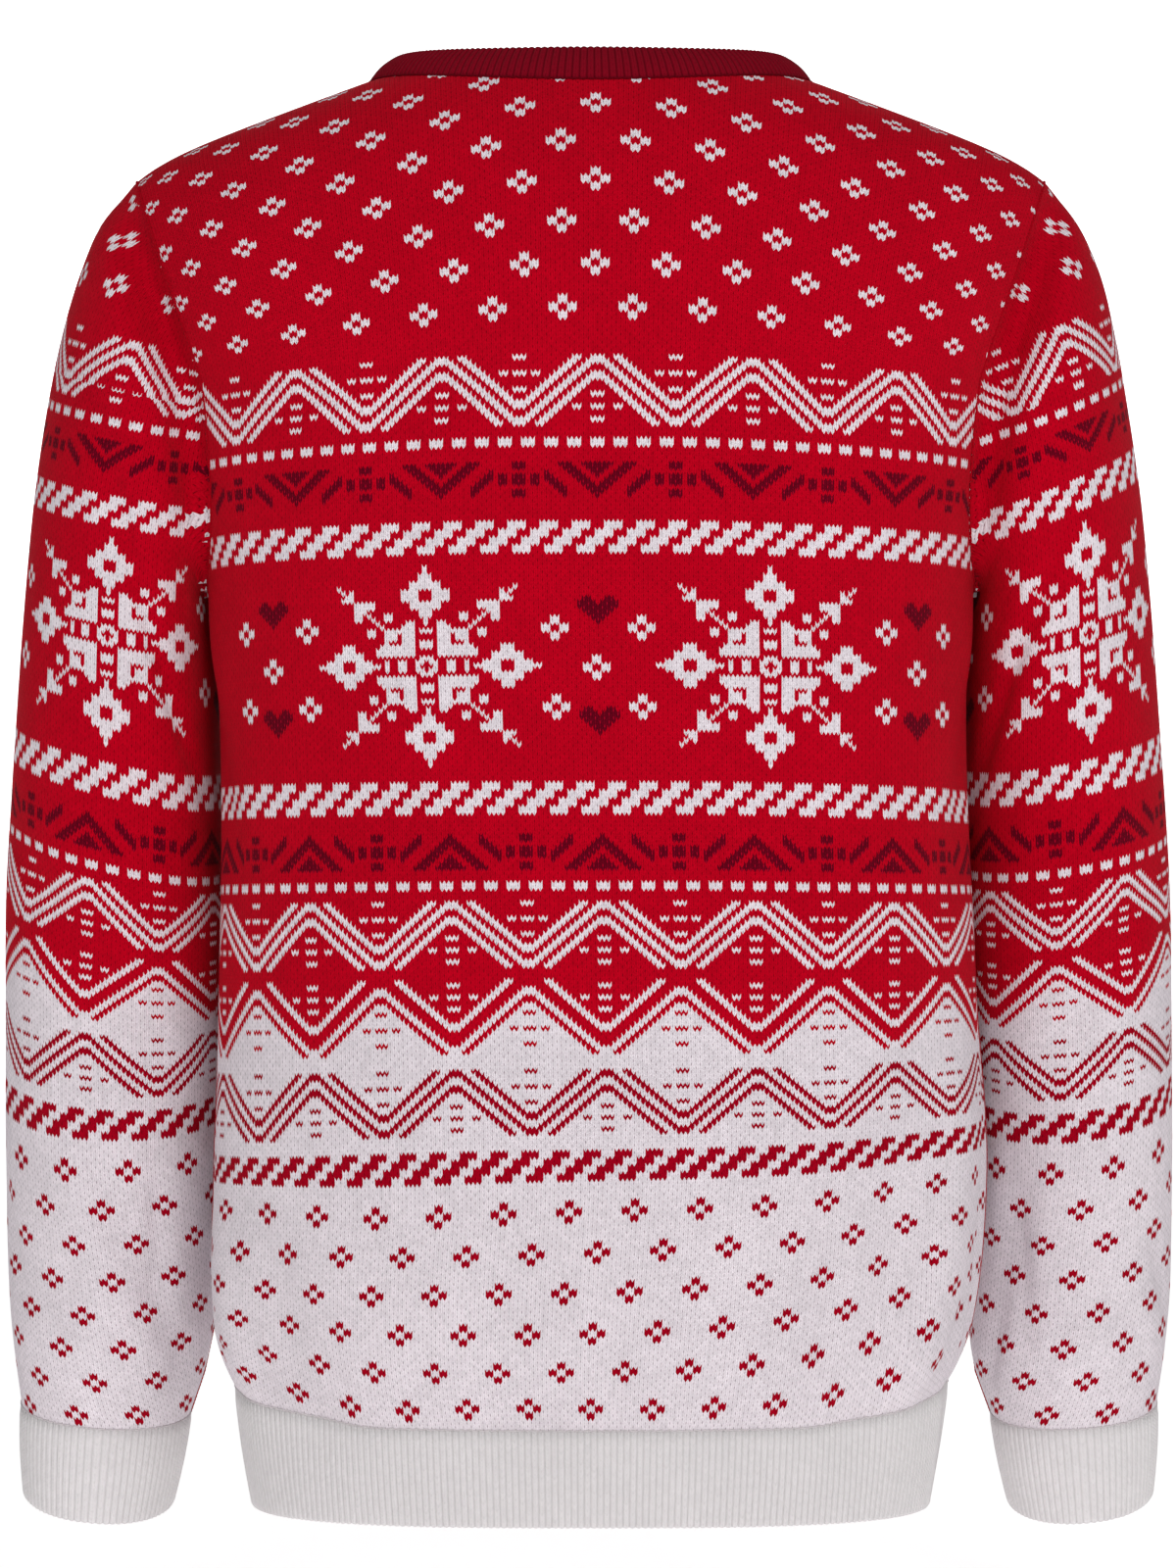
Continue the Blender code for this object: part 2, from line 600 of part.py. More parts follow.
def smooth_columns(rings, facets):
    """Adds rings between the given ones, on a smooth curve through each column of points."""
    rings = np.array(rings)
    spans = np.linalg.norm(np.diff(rings, axis=0), axis=-1)[..., None]
    slopes = np.diff(rings, axis=0) / spans
    ways = np.empty_like(rings)
    ways[0], ways[-1] = slopes[0], slopes[-1]
    ways[1:-1] = (slopes[:-1] * spans[1:] + slopes[1:] * spans[:-1]) / (spans[:-1] + spans[1:])
    result = [rings[0]]
    for k, count in enumerate(facets):
        for step in range(1, count + 1):
            t = step / count
            start = (1 + 2 * t) * (1 - t) ** 2 * rings[k] + t * (1 - t) ** 2 * spans[k] * ways[k]
            end = t * t * (3 - 2 * t) * rings[k + 1] + t * t * (t - 1) * spans[k] * ways[k + 1]
            result.append(start + end)
    return np.array(result)


def sleeve_fold_rise(points, angle, folds):
    """Sum of a sleeve's folds at its points, with none at the cap seam or the cuff."""
    steps = np.linalg.norm(np.diff(points, axis=0), axis=-1)
    down = np.concatenate([np.zeros((1, points.shape[1])), np.cumsum(steps, axis=0)])
    share = down / down[-1]
    total = np.zeros(points.shape[:2])
    for fold in folds:
        apart = (angle - math.radians(fold.around) + math.pi) % (2 * math.pi) - math.pi
        across, along = apart * SLEEVE_RADIUS, (share - fold.along) * down[-1]
        turn = math.radians(fold.tilt)
        lengthwise = along * math.cos(turn) + across * math.sin(turn)
        beside = across * math.cos(turn) - along * math.sin(turn)
        total += fold.rise * np.exp(
            -((beside / fold.half_width) ** 2) - (lengthwise / fold.half_length) ** 2
        )
    return total * np.clip(share / 0.3, 0, 1) * np.clip((1 - share) / 0.06, 0, 1)


def ring_normals(points):
    """Outward normals of a tube of rings whose angle runs from the outer line over the back."""
    across = np.roll(points, -1, axis=1) - np.roll(points, 1, axis=1)
    down = np.gradient(points, axis=0)
    return unit(np.cross(down, across))


def right_ring(ring):
    """The ring of the right sleeve, still at +X."""
    outer, inner = ring.outer_x + ring.right_outer, ring.inner_x + ring.right_inner
    return ring._replace(outer_x=outer, inner_x=inner)


def mirrored(points, side):
    return points * [side, 1, 1]


def build_sleeve(side, rim, folds, collection):
    """A sleeve and its cuff. The shapes are worked out at +X and mirrored for side -1."""
    name = "left" if side > 0 else "right"
    count = len(rim.outer)
    angle = 2 * math.pi * np.arange(count) / count
    start = step_off(rim, SEAM_GAP)
    leaving = CAP_LEAVES[0] + CAP_LEAVES[1] * (1 + np.cos(angle)) / 2
    rings = [start.outer, start.outer + rim.away * leaving[:, None]]
    table = SLEEVE_RINGS if side > 0 else [right_ring(ring) for ring in SLEEVE_RINGS]
    rings += [ring_points(ring, angle) for ring in table]
    points = smooth_columns(rings, [1] + [ring.facets for ring in SLEEVE_RINGS])
    normals = ring_normals(points)
    points = points + normals * sleeve_fold_rise(points, angle, folds)[..., None]
    normals = ring_normals(points)
    normals[0] = rim.normal
    inner = points - normals * CLOTH_WALL
    inner[0] = start.inner
    bm = cloth_wall(mirrored(points, side), mirrored(inner, side), True)
    add_object(f"sleeve_{name}", bm, RED_YARN, collection)
    build_cuff(f"cuff_{name}", side, points[-1], normals[-1], angle, collection)


def build_cuff(name, side, edge, normals, angle, collection):
    """The ribbed cuff that carries on from a sleeve's last ring."""
    low = ring_points(CUFF_RING if side > 0 else right_ring(CUFF_RING), angle)
    rim = step_off(seam_rim(edge, normals, low), SEAM_GAP)
    facing = ring_normals(np.array([rim.outer, low]))[1]
    tops = [mirrored(closed(ring), side) for ring in (rim.outer, rim.inner)]
    bottoms = [mirrored(closed(ring), side) for ring in (low, low - facing * CLOTH_WALL)]
    places = closed_places(rim.outer)
    facings = [mirrored(closed(ring), side) for ring in (rim.normal, facing)]
    bm = ribbed_wall((tops, bottoms), facings, places, rib_count(places[-1]), True)
    add_object(name, bm, RIB_YARN, collection)


def clear_scene():
    for thing in list(bpy.data.objects):
        bpy.data.objects.remove(thing, do_unlink=True)


def main():
    clear_scene()
    collection = bpy.data.collections.new(COLLECTION)
    bpy.context.scene.collection.children.link(collection)
    surfaces = (BodySurface(1), BodySurface(-1))
    back, front = (panel_grid(surface) for surface in surfaces)
    build_panel("back_panel", *back, 1, collection)
    build_panel("front_panel", *front, -1, collection)
    build_hem(back, front, [hem_shares(surface) for surface in surfaces], collection)
    build_collar(back, front, collection)
    rim = armhole_rim(back, front)
    build_sleeve(1, rim, LEFT_FOLDS, collection)
    build_sleeve(-1, rim, RIGHT_FOLDS, collection)


main()
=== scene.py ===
"""Dresses the christmas sweater: jacquard knit, ribs, linked seams, soft light and the camera.

The frame has +Z up, the front faces -Y and +X is the wearer's left. Every knitted piece is a grid of
stitches on the same surface as its solid. A wale runs up the cloth and a course runs across it, and the
yarn of each stitch comes from one chart that the body and the sleeves share.
"""

from __future__ import annotations

import logging
import math
from dataclasses import dataclass, field
from enum import IntEnum
from typing import Iterable, NamedTuple, Sequence

import bpy
import numpy as np
from mathutils import Matrix, Vector


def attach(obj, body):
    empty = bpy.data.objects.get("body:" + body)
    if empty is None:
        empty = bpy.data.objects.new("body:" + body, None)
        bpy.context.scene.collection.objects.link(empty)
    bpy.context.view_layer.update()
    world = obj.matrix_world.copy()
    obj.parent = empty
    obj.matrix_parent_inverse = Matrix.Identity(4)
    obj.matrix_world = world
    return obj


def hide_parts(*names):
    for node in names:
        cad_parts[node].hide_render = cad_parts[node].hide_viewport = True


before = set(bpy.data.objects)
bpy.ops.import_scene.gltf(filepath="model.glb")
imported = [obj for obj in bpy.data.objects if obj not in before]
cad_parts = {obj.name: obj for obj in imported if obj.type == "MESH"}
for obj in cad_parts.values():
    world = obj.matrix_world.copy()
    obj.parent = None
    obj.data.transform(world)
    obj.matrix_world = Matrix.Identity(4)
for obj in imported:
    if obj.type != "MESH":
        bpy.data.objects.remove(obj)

LOG = logging.getLogger("christmas_sweater")
Array = np.ndarray

SEAM_GAP = 0.0003
CLOTH = 0.0022
HEM_TOP, CHEST, UNDERARM = -0.6435, -0.150, -0.250
HEM_SIDE_RISE, HEM_RISE_FADES = 0.012, 0.060
HEM_RISE_STARTS, HEM_RISE_OVER = 0.4, 0.5
ARMHOLE_HALF_DEPTH, ARMHOLE_TOP_WIDTH = 0.055, 0.2215
SHOULDER_LEAN = 0.9
NECK_HALF_WIDTH = 0.109
SHOULDER_SLOPE, SHOULDER_ROUNDING = 0.375, 0.03
NECK_SLOPE, NECK_ROUNDING = 0.40, 0.09
TIP_DROP = 0.0060
HEM_BOTTOM, HEM_HALF_WIDTH, HEM_SQUARENESS = -0.6885, 0.1632, 2.9
BODY_QUARTER = 0.25
SLEEVE_RADIUS, SLEEVE_SQUARENESS = 0.055, 2.15
SECTION_POINTS, ON_SEAM = 241, 1e-6


class Half(IntEnum):
    """A half of the body, as the direction that it faces along Y."""

    BACK = 1
    FRONT = -1


class Arm(IntEnum):
    """The wearer's arm, as its side of the middle plane along X."""

    LEFT = 1
    RIGHT = -1


class Yarn(IntEnum):
    """The codes that the stitches carry: the yarns of the jacquard, and the red darkened as painted shade."""

    RED = 0
    WHITE = 1
    WINE = 2
    # Not a yarn: the red darkened as painted shade for the lower rows, where less light falls
    DEEP = 3


class Section(NamedTuple):
    """A level section of the body."""

    height: float
    half_width: float
    back_depth: float
    front_depth: float
    squareness: float
    shift: float


class Fold(NamedTuple):
    """A soft trough or ridge.

    On the body, around runs 0 back, 1 left, 2 front, and below 0 on the right, and place is a height. On
    a sleeve, around is in degrees from the outer line over the back, and place is a share of the way down.
    """

    around: float
    place: float
    half_length: float
    half_width: float
    tilt: float
    rise: float

    def at(self, across: Array, up: Array) -> Array:
        """Its rise at distances from its middle.

        Args:
            across: distances across, in metres.
            up: distances up or down, in metres.

        Returns:
            The rise, in metres.
        """
        turn = math.radians(self.tilt)
        along = up * math.cos(turn) + across * math.sin(turn)
        beside = across * math.cos(turn) - up * math.sin(turn)
        return self.rise * np.exp(-((beside / self.half_width) ** 2) - (along / self.half_length) ** 2)


class SleeveRing(NamedTuple):
    """A ring of a sleeve, from its outer end to its inner end; the right sleeve adds the last two."""

    outer_x: float
    outer_z: float
    inner_x: float
    inner_z: float
    middle_y: float
    half_depth: float
    dip: float
    facets: int
    right_outer: float
    right_inner: float


class Course(NamedTuple):
    """Where a course lies on the body: its height at the middle, and the wales in a quarter."""

    row: float
    height: float
    wales: float


class Drift(NamedTuple):
    """How far the courses near a height stand above it, from the right side over to the left."""

    height: float
    rises: tuple[float, ...]


class SleeveCourse(NamedTuple):
    """Where a course lies on a sleeve: its height on the back, its slopes and its stitch width."""

    row: float
    left: float
    right: float
    left_slope: float
    right_slope: float
    lean: float
    pitch: float


BODY_SECTIONS = (
    Section(HEM_TOP, 0.1735, 0.1070, 0.1050, 2.60, 0.0000),
    Section(-0.6300, 0.1785, 0.1105, 0.1095, 2.55, 0.0000),
    Section(-0.6120, 0.1838, 0.1140, 0.1135, 2.50, -0.0002),
    Section(-0.5850, 0.1875, 0.1170, 0.1170, 2.45, -0.0015),
    Section(-0.5330, 0.1885, 0.1180, 0.1185, 2.40, -0.0045),
    Section(-0.4370, 0.1842, 0.1150, 0.1175, 2.40, -0.0035),
    Section(-0.2940, 0.1820, 0.1150, 0.1180, 2.40, -0.0008),
    Section(UNDERARM, 0.1842, 0.1160, 0.1180, 2.40, 0.0000),
    Section(CHEST, 0.2000, 0.1170, 0.1170, 2.40, 0.0000),
)

# The largest folds, which the solids have as well
BODY_FOLDS = (
    Fold(0.60, -0.600, 0.050, 0.014, 18, -0.0045),
    Fold(0.76, -0.590, 0.055, 0.016, 12, 0.0040),
    Fold(0.95, -0.600, 0.045, 0.014, 4, -0.0050),
    Fold(-0.56, -0.575, 0.070, 0.013, -8, -0.0045),
    Fold(-0.71, -0.560, 0.080, 0.015, -10, 0.0045),
    Fold(-0.90, -0.570, 0.070, 0.014, -3, -0.0050),
    Fold(1.18, -0.580, 0.060, 0.016, -10, 0.0045),
    Fold(1.36, -0.590, 0.050, 0.014, -16, -0.0045),
    Fold(-1.12, -0.560, 0.065, 0.015, 6, 0.0040),
    Fold(-1.30, -0.585, 0.055, 0.014, 12, -0.0050),
    Fold(1.72, -0.605, 0.040, 0.016, -8, -0.0030),
    Fold(-1.80, -0.600, 0.045, 0.017, 10, -0.0030),
    Fold(0.88, -0.330, 0.060, 0.014, 24, -0.0030),
    Fold(-0.88, -0.325, 0.060, 0.014, -24, -0.0030),
    Fold(1.14, -0.335, 0.060, 0.014, -24, -0.0030),
    Fold(-1.14, -0.330, 0.060, 0.014, 24, -0.0030),
)

# Creases of the cloth over the rib and below the arms, finer than the solids' folds
BODY_CREASES = (
    Fold(0.50, -0.618, 0.026, 0.0078, 10, -0.0024),
    Fold(0.69, -0.612, 0.034, 0.0073, 20, -0.0027),
    Fold(0.84, -0.604, 0.028, 0.0067, 6, -0.0023),
    Fold(0.33, -0.625, 0.018, 0.0090, -6, -0.0015),
    Fold(-0.44, -0.606, 0.040, 0.0073, -4, -0.0027),
    Fold(-0.63, -0.584, 0.052, 0.0067, -14, -0.0030),
    Fold(-0.79, -0.592, 0.036, 0.0073, -22, -0.0025),
    Fold(-0.26, -0.624, 0.020, 0.0090, 5, -0.0014),
    Fold(0.93, -0.520, 0.045, 0.0090, 8, -0.0021),
    Fold(-0.94, -0.500, 0.050, 0.0090, -6, -0.0021),
    Fold(1.27, -0.604, 0.034, 0.0078, -12, -0.0024),
    Fold(1.49, -0.616, 0.026, 0.0073, -4, -0.0021),
    Fold(1.63, -0.622, 0.020, 0.0090, 9, -0.0015),
    Fold(-1.21, -0.598, 0.040, 0.0078, 8, -0.0025),
    Fold(-1.42, -0.610, 0.030, 0.0073, 16, -0.0023),
    Fold(-1.66, -0.620, 0.022, 0.0090, -7, -0.0015),
    Fold(0.93, -0.278, 0.044, 0.0190, 0, 0.0032),
    Fold(-0.93, -0.275, 0.042, 0.0190, 0, 0.0032),
)

SLEEVE_RINGS = (
    SleeveRing(0.2390, -0.0685, 0.1868, -0.2446, 0.000, 0.0590, 0.000, 1, -0.0010, 0.0000),
    SleeveRing(0.2488, -0.0910, 0.1884, -0.2450, -0.002, 0.0615, 0.000, 1, -0.0005, 0.0000),
    SleeveRing(0.2584, -0.1215, 0.1890, -0.2490, -0.006, 0.0632, 0.001, 1, -0.0020, 0.0000),
    SleeveRing(0.2658, -0.1545, 0.1884, -0.2610, -0.011, 0.0643, 0.002, 1, -0.0030, 0.0000),
    SleeveRing(0.2730, -0.1970, 0.1866, -0.2840, -0.018, 0.0643, 0.004, 2, -0.0030, 0.0000),
    SleeveRing(0.2789, -0.2460, 0.1840, -0.3130, -0.027, 0.0634, 0.006, 2, -0.0030, 0.0003),
    SleeveRing(0.2850, -0.3120, 0.1812, -0.3590, -0.038, 0.0614, 0.009, 2, -0.0028, 0.0015),
    SleeveRing(0.2908, -0.3900, 0.1803, -0.4230, -0.048, 0.0594, 0.011, 2, -0.0025, 0.0040),
    SleeveRing(0.2924, -0.4650, 0.1820, -0.4950, -0.058, 0.0574, 0.012, 2, -0.0020, 0.0070),
    SleeveRing(0.2931, -0.5400, 0.1856, -0.5680, -0.068, 0.0534, 0.011, 2, -0.0015, 0.0070),
    SleeveRing(0.2914, -0.6130, 0.1936, -0.6310, -0.079, 0.0468, 0.009, 2, -0.0010, -0.0005),
    SleeveRing(0.2876, -0.6510, 0.2024, -0.6570, -0.086, 0.0374, 0.0075, 1, -0.0015, 0.0000),
)
CUFF_RING = SleeveRing(0.2874, -0.6965, 0.2121, -0.7030, -0.096, 0.0349, 0.0105, 1, -0.0025, 0.0000)
CAP_LEAVES = (0.003, 0.0003)

LEFT_FOLDS = (
    Fold(120, 0.86, 0.030, 0.012, 30, -0.0040),
    Fold(80, 0.80, 0.040, 0.014, 20, 0.0030),
    Fold(60, 0.55, 0.035, 0.014, 60, -0.0030),
    Fold(-70, 0.62, 0.040, 0.014, 70, -0.0040),
    Fold(-110, 0.52, 0.035, 0.013, 60, -0.0040),
    Fold(-60, 0.90, 0.030, 0.012, -30, -0.0030),
)
RIGHT_FOLDS = (
    Fold(135, 0.80, 0.040, 0.012, 12, -0.0035),
    Fold(95, 0.90, 0.030, 0.013, 35, 0.0030),
    Fold(70, 0.58, 0.035, 0.014, 55, -0.0030),
    Fold(-75, 0.60, 0.040, 0.014, 65, -0.0040),
    Fold(-115, 0.50, 0.035, 0.013, 65, -0.0040),
    Fold(-50, 0.88, 0.030, 0.012, -25, -0.0030),
)

# Finer creases of the sleeves: the elbow, the V of folds over each cuff and the vertical ones beside them
LEFT_CREASES = (
    Fold(118, 0.79, 0.034, 0.0067, 4, -0.0030),
    Fold(100, 0.90, 0.026, 0.0067, -34, -0.0024),
    Fold(62, 0.91, 0.028, 0.0073, 36, -0.0024),
    Fold(140, 0.92, 0.022, 0.0067, -20, -0.0023),
    Fold(30, 0.86, 0.030, 0.0073, 24, -0.0021),
    Fold(-40, 0.84, 0.030, 0.0073, -22, -0.0023),
    Fold(-92, 0.88, 0.026, 0.0067, 30, -0.0024),
    Fold(-125, 0.93, 0.020, 0.0067, 12, -0.0021),
    Fold(-85, 0.57, 0.030, 0.0090, 74, -0.0027),
    Fold(-58, 0.50, 0.024, 0.0090, 62, -0.0021),
    Fold(184, 0.11, 0.040, 0.0220, 0, 0.0030),
    Fold(128, 0.24, 0.034, 0.0090, 38, -0.0026),
    Fold(96, 0.16, 0.028, 0.0101, 52, -0.0027),
)
RIGHT_CREASES = (
    Fold(124, 0.84, 0.032, 0.0067, -6, -0.0027),
    Fold(102, 0.91, 0.026, 0.0067, 32, -0.0024),
    Fold(66, 0.90, 0.028, 0.0073, -34, -0.0023),
    Fold(146, 0.91, 0.022, 0.0067, 18, -0.0021),
    Fold(34, 0.88, 0.028, 0.0073, -26, -0.0021),
    Fold(-44, 0.86, 0.030, 0.0073, 20, -0.0023),
    Fold(-96, 0.89, 0.026, 0.0067, -28, -0.0024),
    Fold(-128, 0.92, 0.020, 0.0067, -10, -0.0021),
    Fold(-88, 0.55, 0.030, 0.0090, 66, -0.0027),
    Fold(-60, 0.48, 0.024, 0.0090, 72, -0.0021),
    Fold(184, 0.10, 0.038, 0.0220, 0, 0.0030),
    Fold(132, 0.22, 0.036, 0.0095, 34, -0.0028),
    Fold(100, 0.19, 0.026, 0.0095, 58, -0.0025),
)

# Courses of the body, counted up from the hem rib
COURSES = (
    Course(-20, -0.6764, 125),
    Course(0, -0.6435, 125),
    Course(6, -0.6330, 125),
    Course(17, -0.6157, 125),
    Course(28, -0.5979, 125),
    Course(39, -0.5787, 125),
    Course(50, -0.5602, 125),
    Course(61, -0.5411, 125),
    Course(73, -0.5201, 123),
    Course(89.5, -0.49095, 121),
    Course(110.5, -0.45355, 119.3),
    Course(132.5, -0.4135, 117.5),
    Course(145, -0.3912, 117),
    Course(167, -0.3505, 116.5),
    Course(200, -0.2900, 115.3),
    Course(233, -0.2296, 116.5),
    Course(257, -0.1858, 119),
    Course(269.5, -0.1613, 122),
    Course(290, -0.1227, 124),
    Course(301, -0.1018, 125),
    Course(312, -0.0811, 125.2),
    Course(323, -0.0601, 125),
    Course(334, -0.0387, 125.3),
    Course(345, -0.0161, 125.6),
    Course(398, 0.0880, 126),
    Course(420, 0.1312, 126),
)

# Shares of the body's half width at which a drift is given
DRIFT_SHARES = (-1.0, -0.8, -0.6, -0.4, -0.2, 0.0, 0.2, 0.4, 0.6, 0.8, 1.0)
BACK_DRIFTS = (
    Drift(-0.645, (0.022, 0.019, 0.007, 0.002, 0.0, 0.0, 0.0, -0.002, 0.001, 0.012, 0.014)),
    Drift(-0.633, (0.022, 0.0195, 0.008, 0.002, 0.0, 0.0, 0.0, -0.002, 0.001, 0.012, 0.014)),
    Drift(-0.616, (0.025, 0.0230, 0.0125, 0.005, 0.001, 0.0, -0.001, -0.0015, 0.001, 0.007, 0.009)),
    Drift(-0.598, (0.023, 0.0205, 0.0135, 0.007, 0.002, 0.0, -0.001, -0.0015, 0.0004, 0.003, 0.004)),
    Drift(-0.579, (0.020, 0.0180, 0.0120, 0.005, 0.002, 0.0, -0.001, -0.0028, -0.0028, -0.001, 0.0)),
    Drift(-0.560, (0.0165, 0.0145, 0.0105, 0.0048, 0.002, 0.0, -0.002, -0.0035, -0.0034, -0.004, -0.004)),
    Drift(-0.541, (0.0145, 0.0125, 0.0085, 0.0030, 0.001, 0.0, -0.002, -0.0046, -0.0042, -0.004, -0.004)),
    Drift(-0.520, (0.0120, 0.0095, 0.0060, 0.0025, 0.001, 0.0, -0.001, -0.0030, -0.0052, -0.0068, -0.007)),
    Drift(-0.460, (0.0035, 0.0025, 0.0012, 0.0, 0.0, 0.0, 0.0, -0.0015, -0.0030, -0.0042, -0.0045)),
    Drift(-0.391, (-0.0022, -0.0018, -0.0012, -0.0006, 0.0, 0.0, 0.0, -0.0006, -0.0012, -0.0018, -0.0022)),
    Drift(-0.230, (-0.0022, -0.0018, -0.0013, -0.0008, 0.0, 0.0, 0.0, -0.0008, -0.0013, -0.0018, -0.0022)),
    Drift(-0.186, (-0.0050, -0.0045, -0.0031, -0.0015, 0.0, 0.0, 0.0, -0.0015, -0.0031, -0.0045, -0.0050)),
    Drift(-0.123, (
        -0.0085, -0.0080, -0.0062, -0.0028, -0.0003, 0.0, -0.0003, -0.0028, -0.0062, -0.0080, -0.0085)),
    Drift(0.090, (
        -0.0085, -0.0080, -0.0065, -0.0045, -0.0010, 0.0, -0.0010, -0.0045, -0.0065, -0.0080, -0.0085)),
)
FRONT_DRIFTS = (
    Drift(-0.645, (0.012, 0.010, 0.005, 0.001, 0.0, 0.0, 0.0, 0.001, 0.004, 0.009, 0.011)),
    Drift(-0.560, (0.008, 0.006, 0.003, 0.001, 0.0, 0.0, 0.0, 0.0, 0.002, 0.004, 0.005)),
    Drift(-0.391, (-0.002, -0.002, -0.001, 0.0, 0.0, 0.0, 0.0, 0.0, -0.001, -0.002, -0.002)),
    Drift(-0.186, (-0.005, -0.004, -0.003, -0.001, 0.0, 0.0, 0.0, -0.001, -0.003, -0.004, -0.005)),
    Drift(0.090, (-0.008, -0.008, -0.006, -0.003, 0.0, 0.0, 0.0, -0.003, -0.006, -0.008, -0.008)),
)

# Courses of the sleeves. The heights are on the back of each sleeve at REFERENCE_X from the middle.
REFERENCE_X = 0.235
SLEEVE_COURSES = (
    SleeveCourse(-30, -0.6800, -0.6795, 0.00, 0.04, -0.20, 0.00200),
    SleeveCourse(-16, -0.6546, -0.6544, 0.00, 0.04, -0.20, 0.00205),
    SleeveCourse(6, -0.6205, -0.6200, 0.00, 0.05, -0.20, 0.00215),
    SleeveCourse(28, -0.5863, -0.5850, 0.00, 0.06, -0.20, 0.00215),
    SleeveCourse(50, -0.5504, -0.5508, 0.00, 0.09, -0.22, 0.00212),
    SleeveCourse(61, -0.5313, -0.5321, 0.01, 0.10, -0.24, 0.00210),
    SleeveCourse(73, -0.5079, -0.5092, 0.04, 0.12, -0.28, 0.00210),
    SleeveCourse(145, -0.3828, -0.3843, 0.24, 0.16, -0.18, 0.00213),
    SleeveCourse(167, -0.3400, -0.3400, 0.23, 0.18, -0.15, 0.00213),
    SleeveCourse(200, -0.2712, -0.2726, 0.20, 0.28, -0.15, 0.00213),
    SleeveCourse(233, -0.2110, -0.2032, 0.17, 0.39, -0.15, 0.00213),
    SleeveCourse(257, -0.1694, -0.1623, 0.19, 0.39, -0.15, 0.00213),
    SleeveCourse(290, -0.1028, -0.0950, 0.30, 0.42, -0.15, 0.00213),
    SleeveCourse(330, -0.0230, -0.0150, 0.34, 0.44, -0.15, 0.00213),
)

HEART = (
    ".XX...XX.",
    "XXXX.XXXX",
    "XXXXXXXXX",
    ".XXXXXXX.",
    "..XXXXX..",
    "...XXX...",
    "....X....",
)


def unit(vectors: Array) -> Array:
    """Scales each vector to a length of 1."""
    return vectors / np.maximum(np.linalg.norm(vectors, axis=-1, keepdims=True), 1e-12)


def hermite(t: Array | float, step: Array, start: Array, leaving: Array, end: Array, coming: Array) -> Array:
    """A smooth curve at a share t of a step, from a start and its slope to an end and its slope."""
    first = (1 + 2 * t) * (1 - t) ** 2 * start + t * (1 - t) ** 2 * step * leaving
    return first + (t * t * (3 - 2 * t) * end + t * t * (t - 1) * step * coming)


def smooth_between(places: Array, values: Array, at: Array | float) -> Array:
    """Reads values, or rows of them, on a smooth curve through their places.

    Args:
        places: where the values are given, in rising order.
        values: the values, or a row of values for each place.
        at: where they are read.

    Returns:
        The values there.
    """
    slopes = np.gradient(values, places, axis=0)
    low = np.clip(np.searchsorted(places, at) - 1, 0, len(places) - 2)
    step = places[low + 1] - places[low]
    t = (at - places[low]) / step
    if values.ndim > 1:
        step, t = step[:, None], t[:, None]
    return hermite(t, step, values[low], slopes[low], values[low + 1], slopes[low + 1])


def smooth_column(rows: Sequence[NamedTuple], key: str, column: str, at: Array | float) -> Array:
    """Reads one column of a table on a smooth curve through its rows.

    Args:
        rows: the table.
        key: the column that the places run along.
        column: the column that is read.
        at: the places.

    Returns:
        The values at those places.
    """
    places = np.array([getattr(row, key) for row in rows])
    return smooth_between(places, np.array([getattr(row, column) for row in rows]), at)


def read_line(line: Array, places: Array, at: Array) -> Array:
    """Points along a line that is given at some places."""
    return np.stack([np.interp(at, places, line[:, k]) for k in range(3)], axis=-1)


def table_column(rows: Sequence[NamedTuple], key: str, column: str, at: Array | float) -> Array:
    """Reads one column of a table with straight lines between its rows."""
    places = np.array([getattr(row, key) for row in rows])
    return np.interp(at, places, np.array([getattr(row, column) for row in rows]))


def quarter_section(half_width: float, depth: float, squareness: float, shares: Array) -> tuple[Array, Array]:
    """Points at shares of the length of a rounded quarter, from its middle to its side.

    Args:
        half_width: the half width of the section.
        depth: how deep it is.
        squareness: 2 for an ellipse, and more for a squarer form.
        shares: shares of the length, below 0 on the right.

    Returns:
        The distances to the left and away from the middle plane.
    """
    angle = np.linspace(0, math.pi / 2, SECTION_POINTS)
    x = half_width * np.sin(angle) ** (2 / squareness)
    y = depth * np.cos(angle) ** (2 / squareness)
    length = np.append(0, np.cumsum(np.hypot(np.diff(x), np.diff(y))))
    wanted = np.abs(shares) * length[-1]
    return np.sign(shares) * np.interp(wanted, length, x), np.interp(wanted, length, y)


def shoulder_height(x: Array) -> Array:
    """Height of the shoulder line at a distance from the middle.

    Args:
        x: the distances.

    Returns:
        The heights.
    """
    beyond = np.clip((np.abs(x) - NECK_HALF_WIDTH) / (ARMHOLE_TOP_WIDTH - NECK_HALF_WIDTH), 0, None)
    neck = NECK_SLOPE * (math.hypot(NECK_HALF_WIDTH, NECK_ROUNDING) - np.hypot(x, NECK_ROUNDING))
    start = math.hypot(NECK_HALF_WIDTH, SHOULDER_ROUNDING)
    shoulder = SHOULDER_SLOPE * (start - np.hypot(x, SHOULDER_ROUNDING)) - TIP_DROP * beyond**8
    return np.where(beyond > 0, shoulder, neck)


def hem_rise(shares: Array) -> Array:
    """How far the lower edge of the body rises towards its sides."""
    t = np.clip((np.abs(shares) - HEM_RISE_STARTS) / HEM_RISE_OVER, 0, 1)
    return HEM_SIDE_RISE * t * t * (3 - 2 * t)


def way_off(ring: Array, facing: Array, towards: Array) -> Array:
    """The way off the cloth from a closed line on it, on the side of some point or points."""
    away = unit(np.cross(np.roll(ring, -1, axis=0) - np.roll(ring, 1, axis=0), facing))
    return away * np.sign(np.sum(away * (towards - ring), axis=-1).mean())


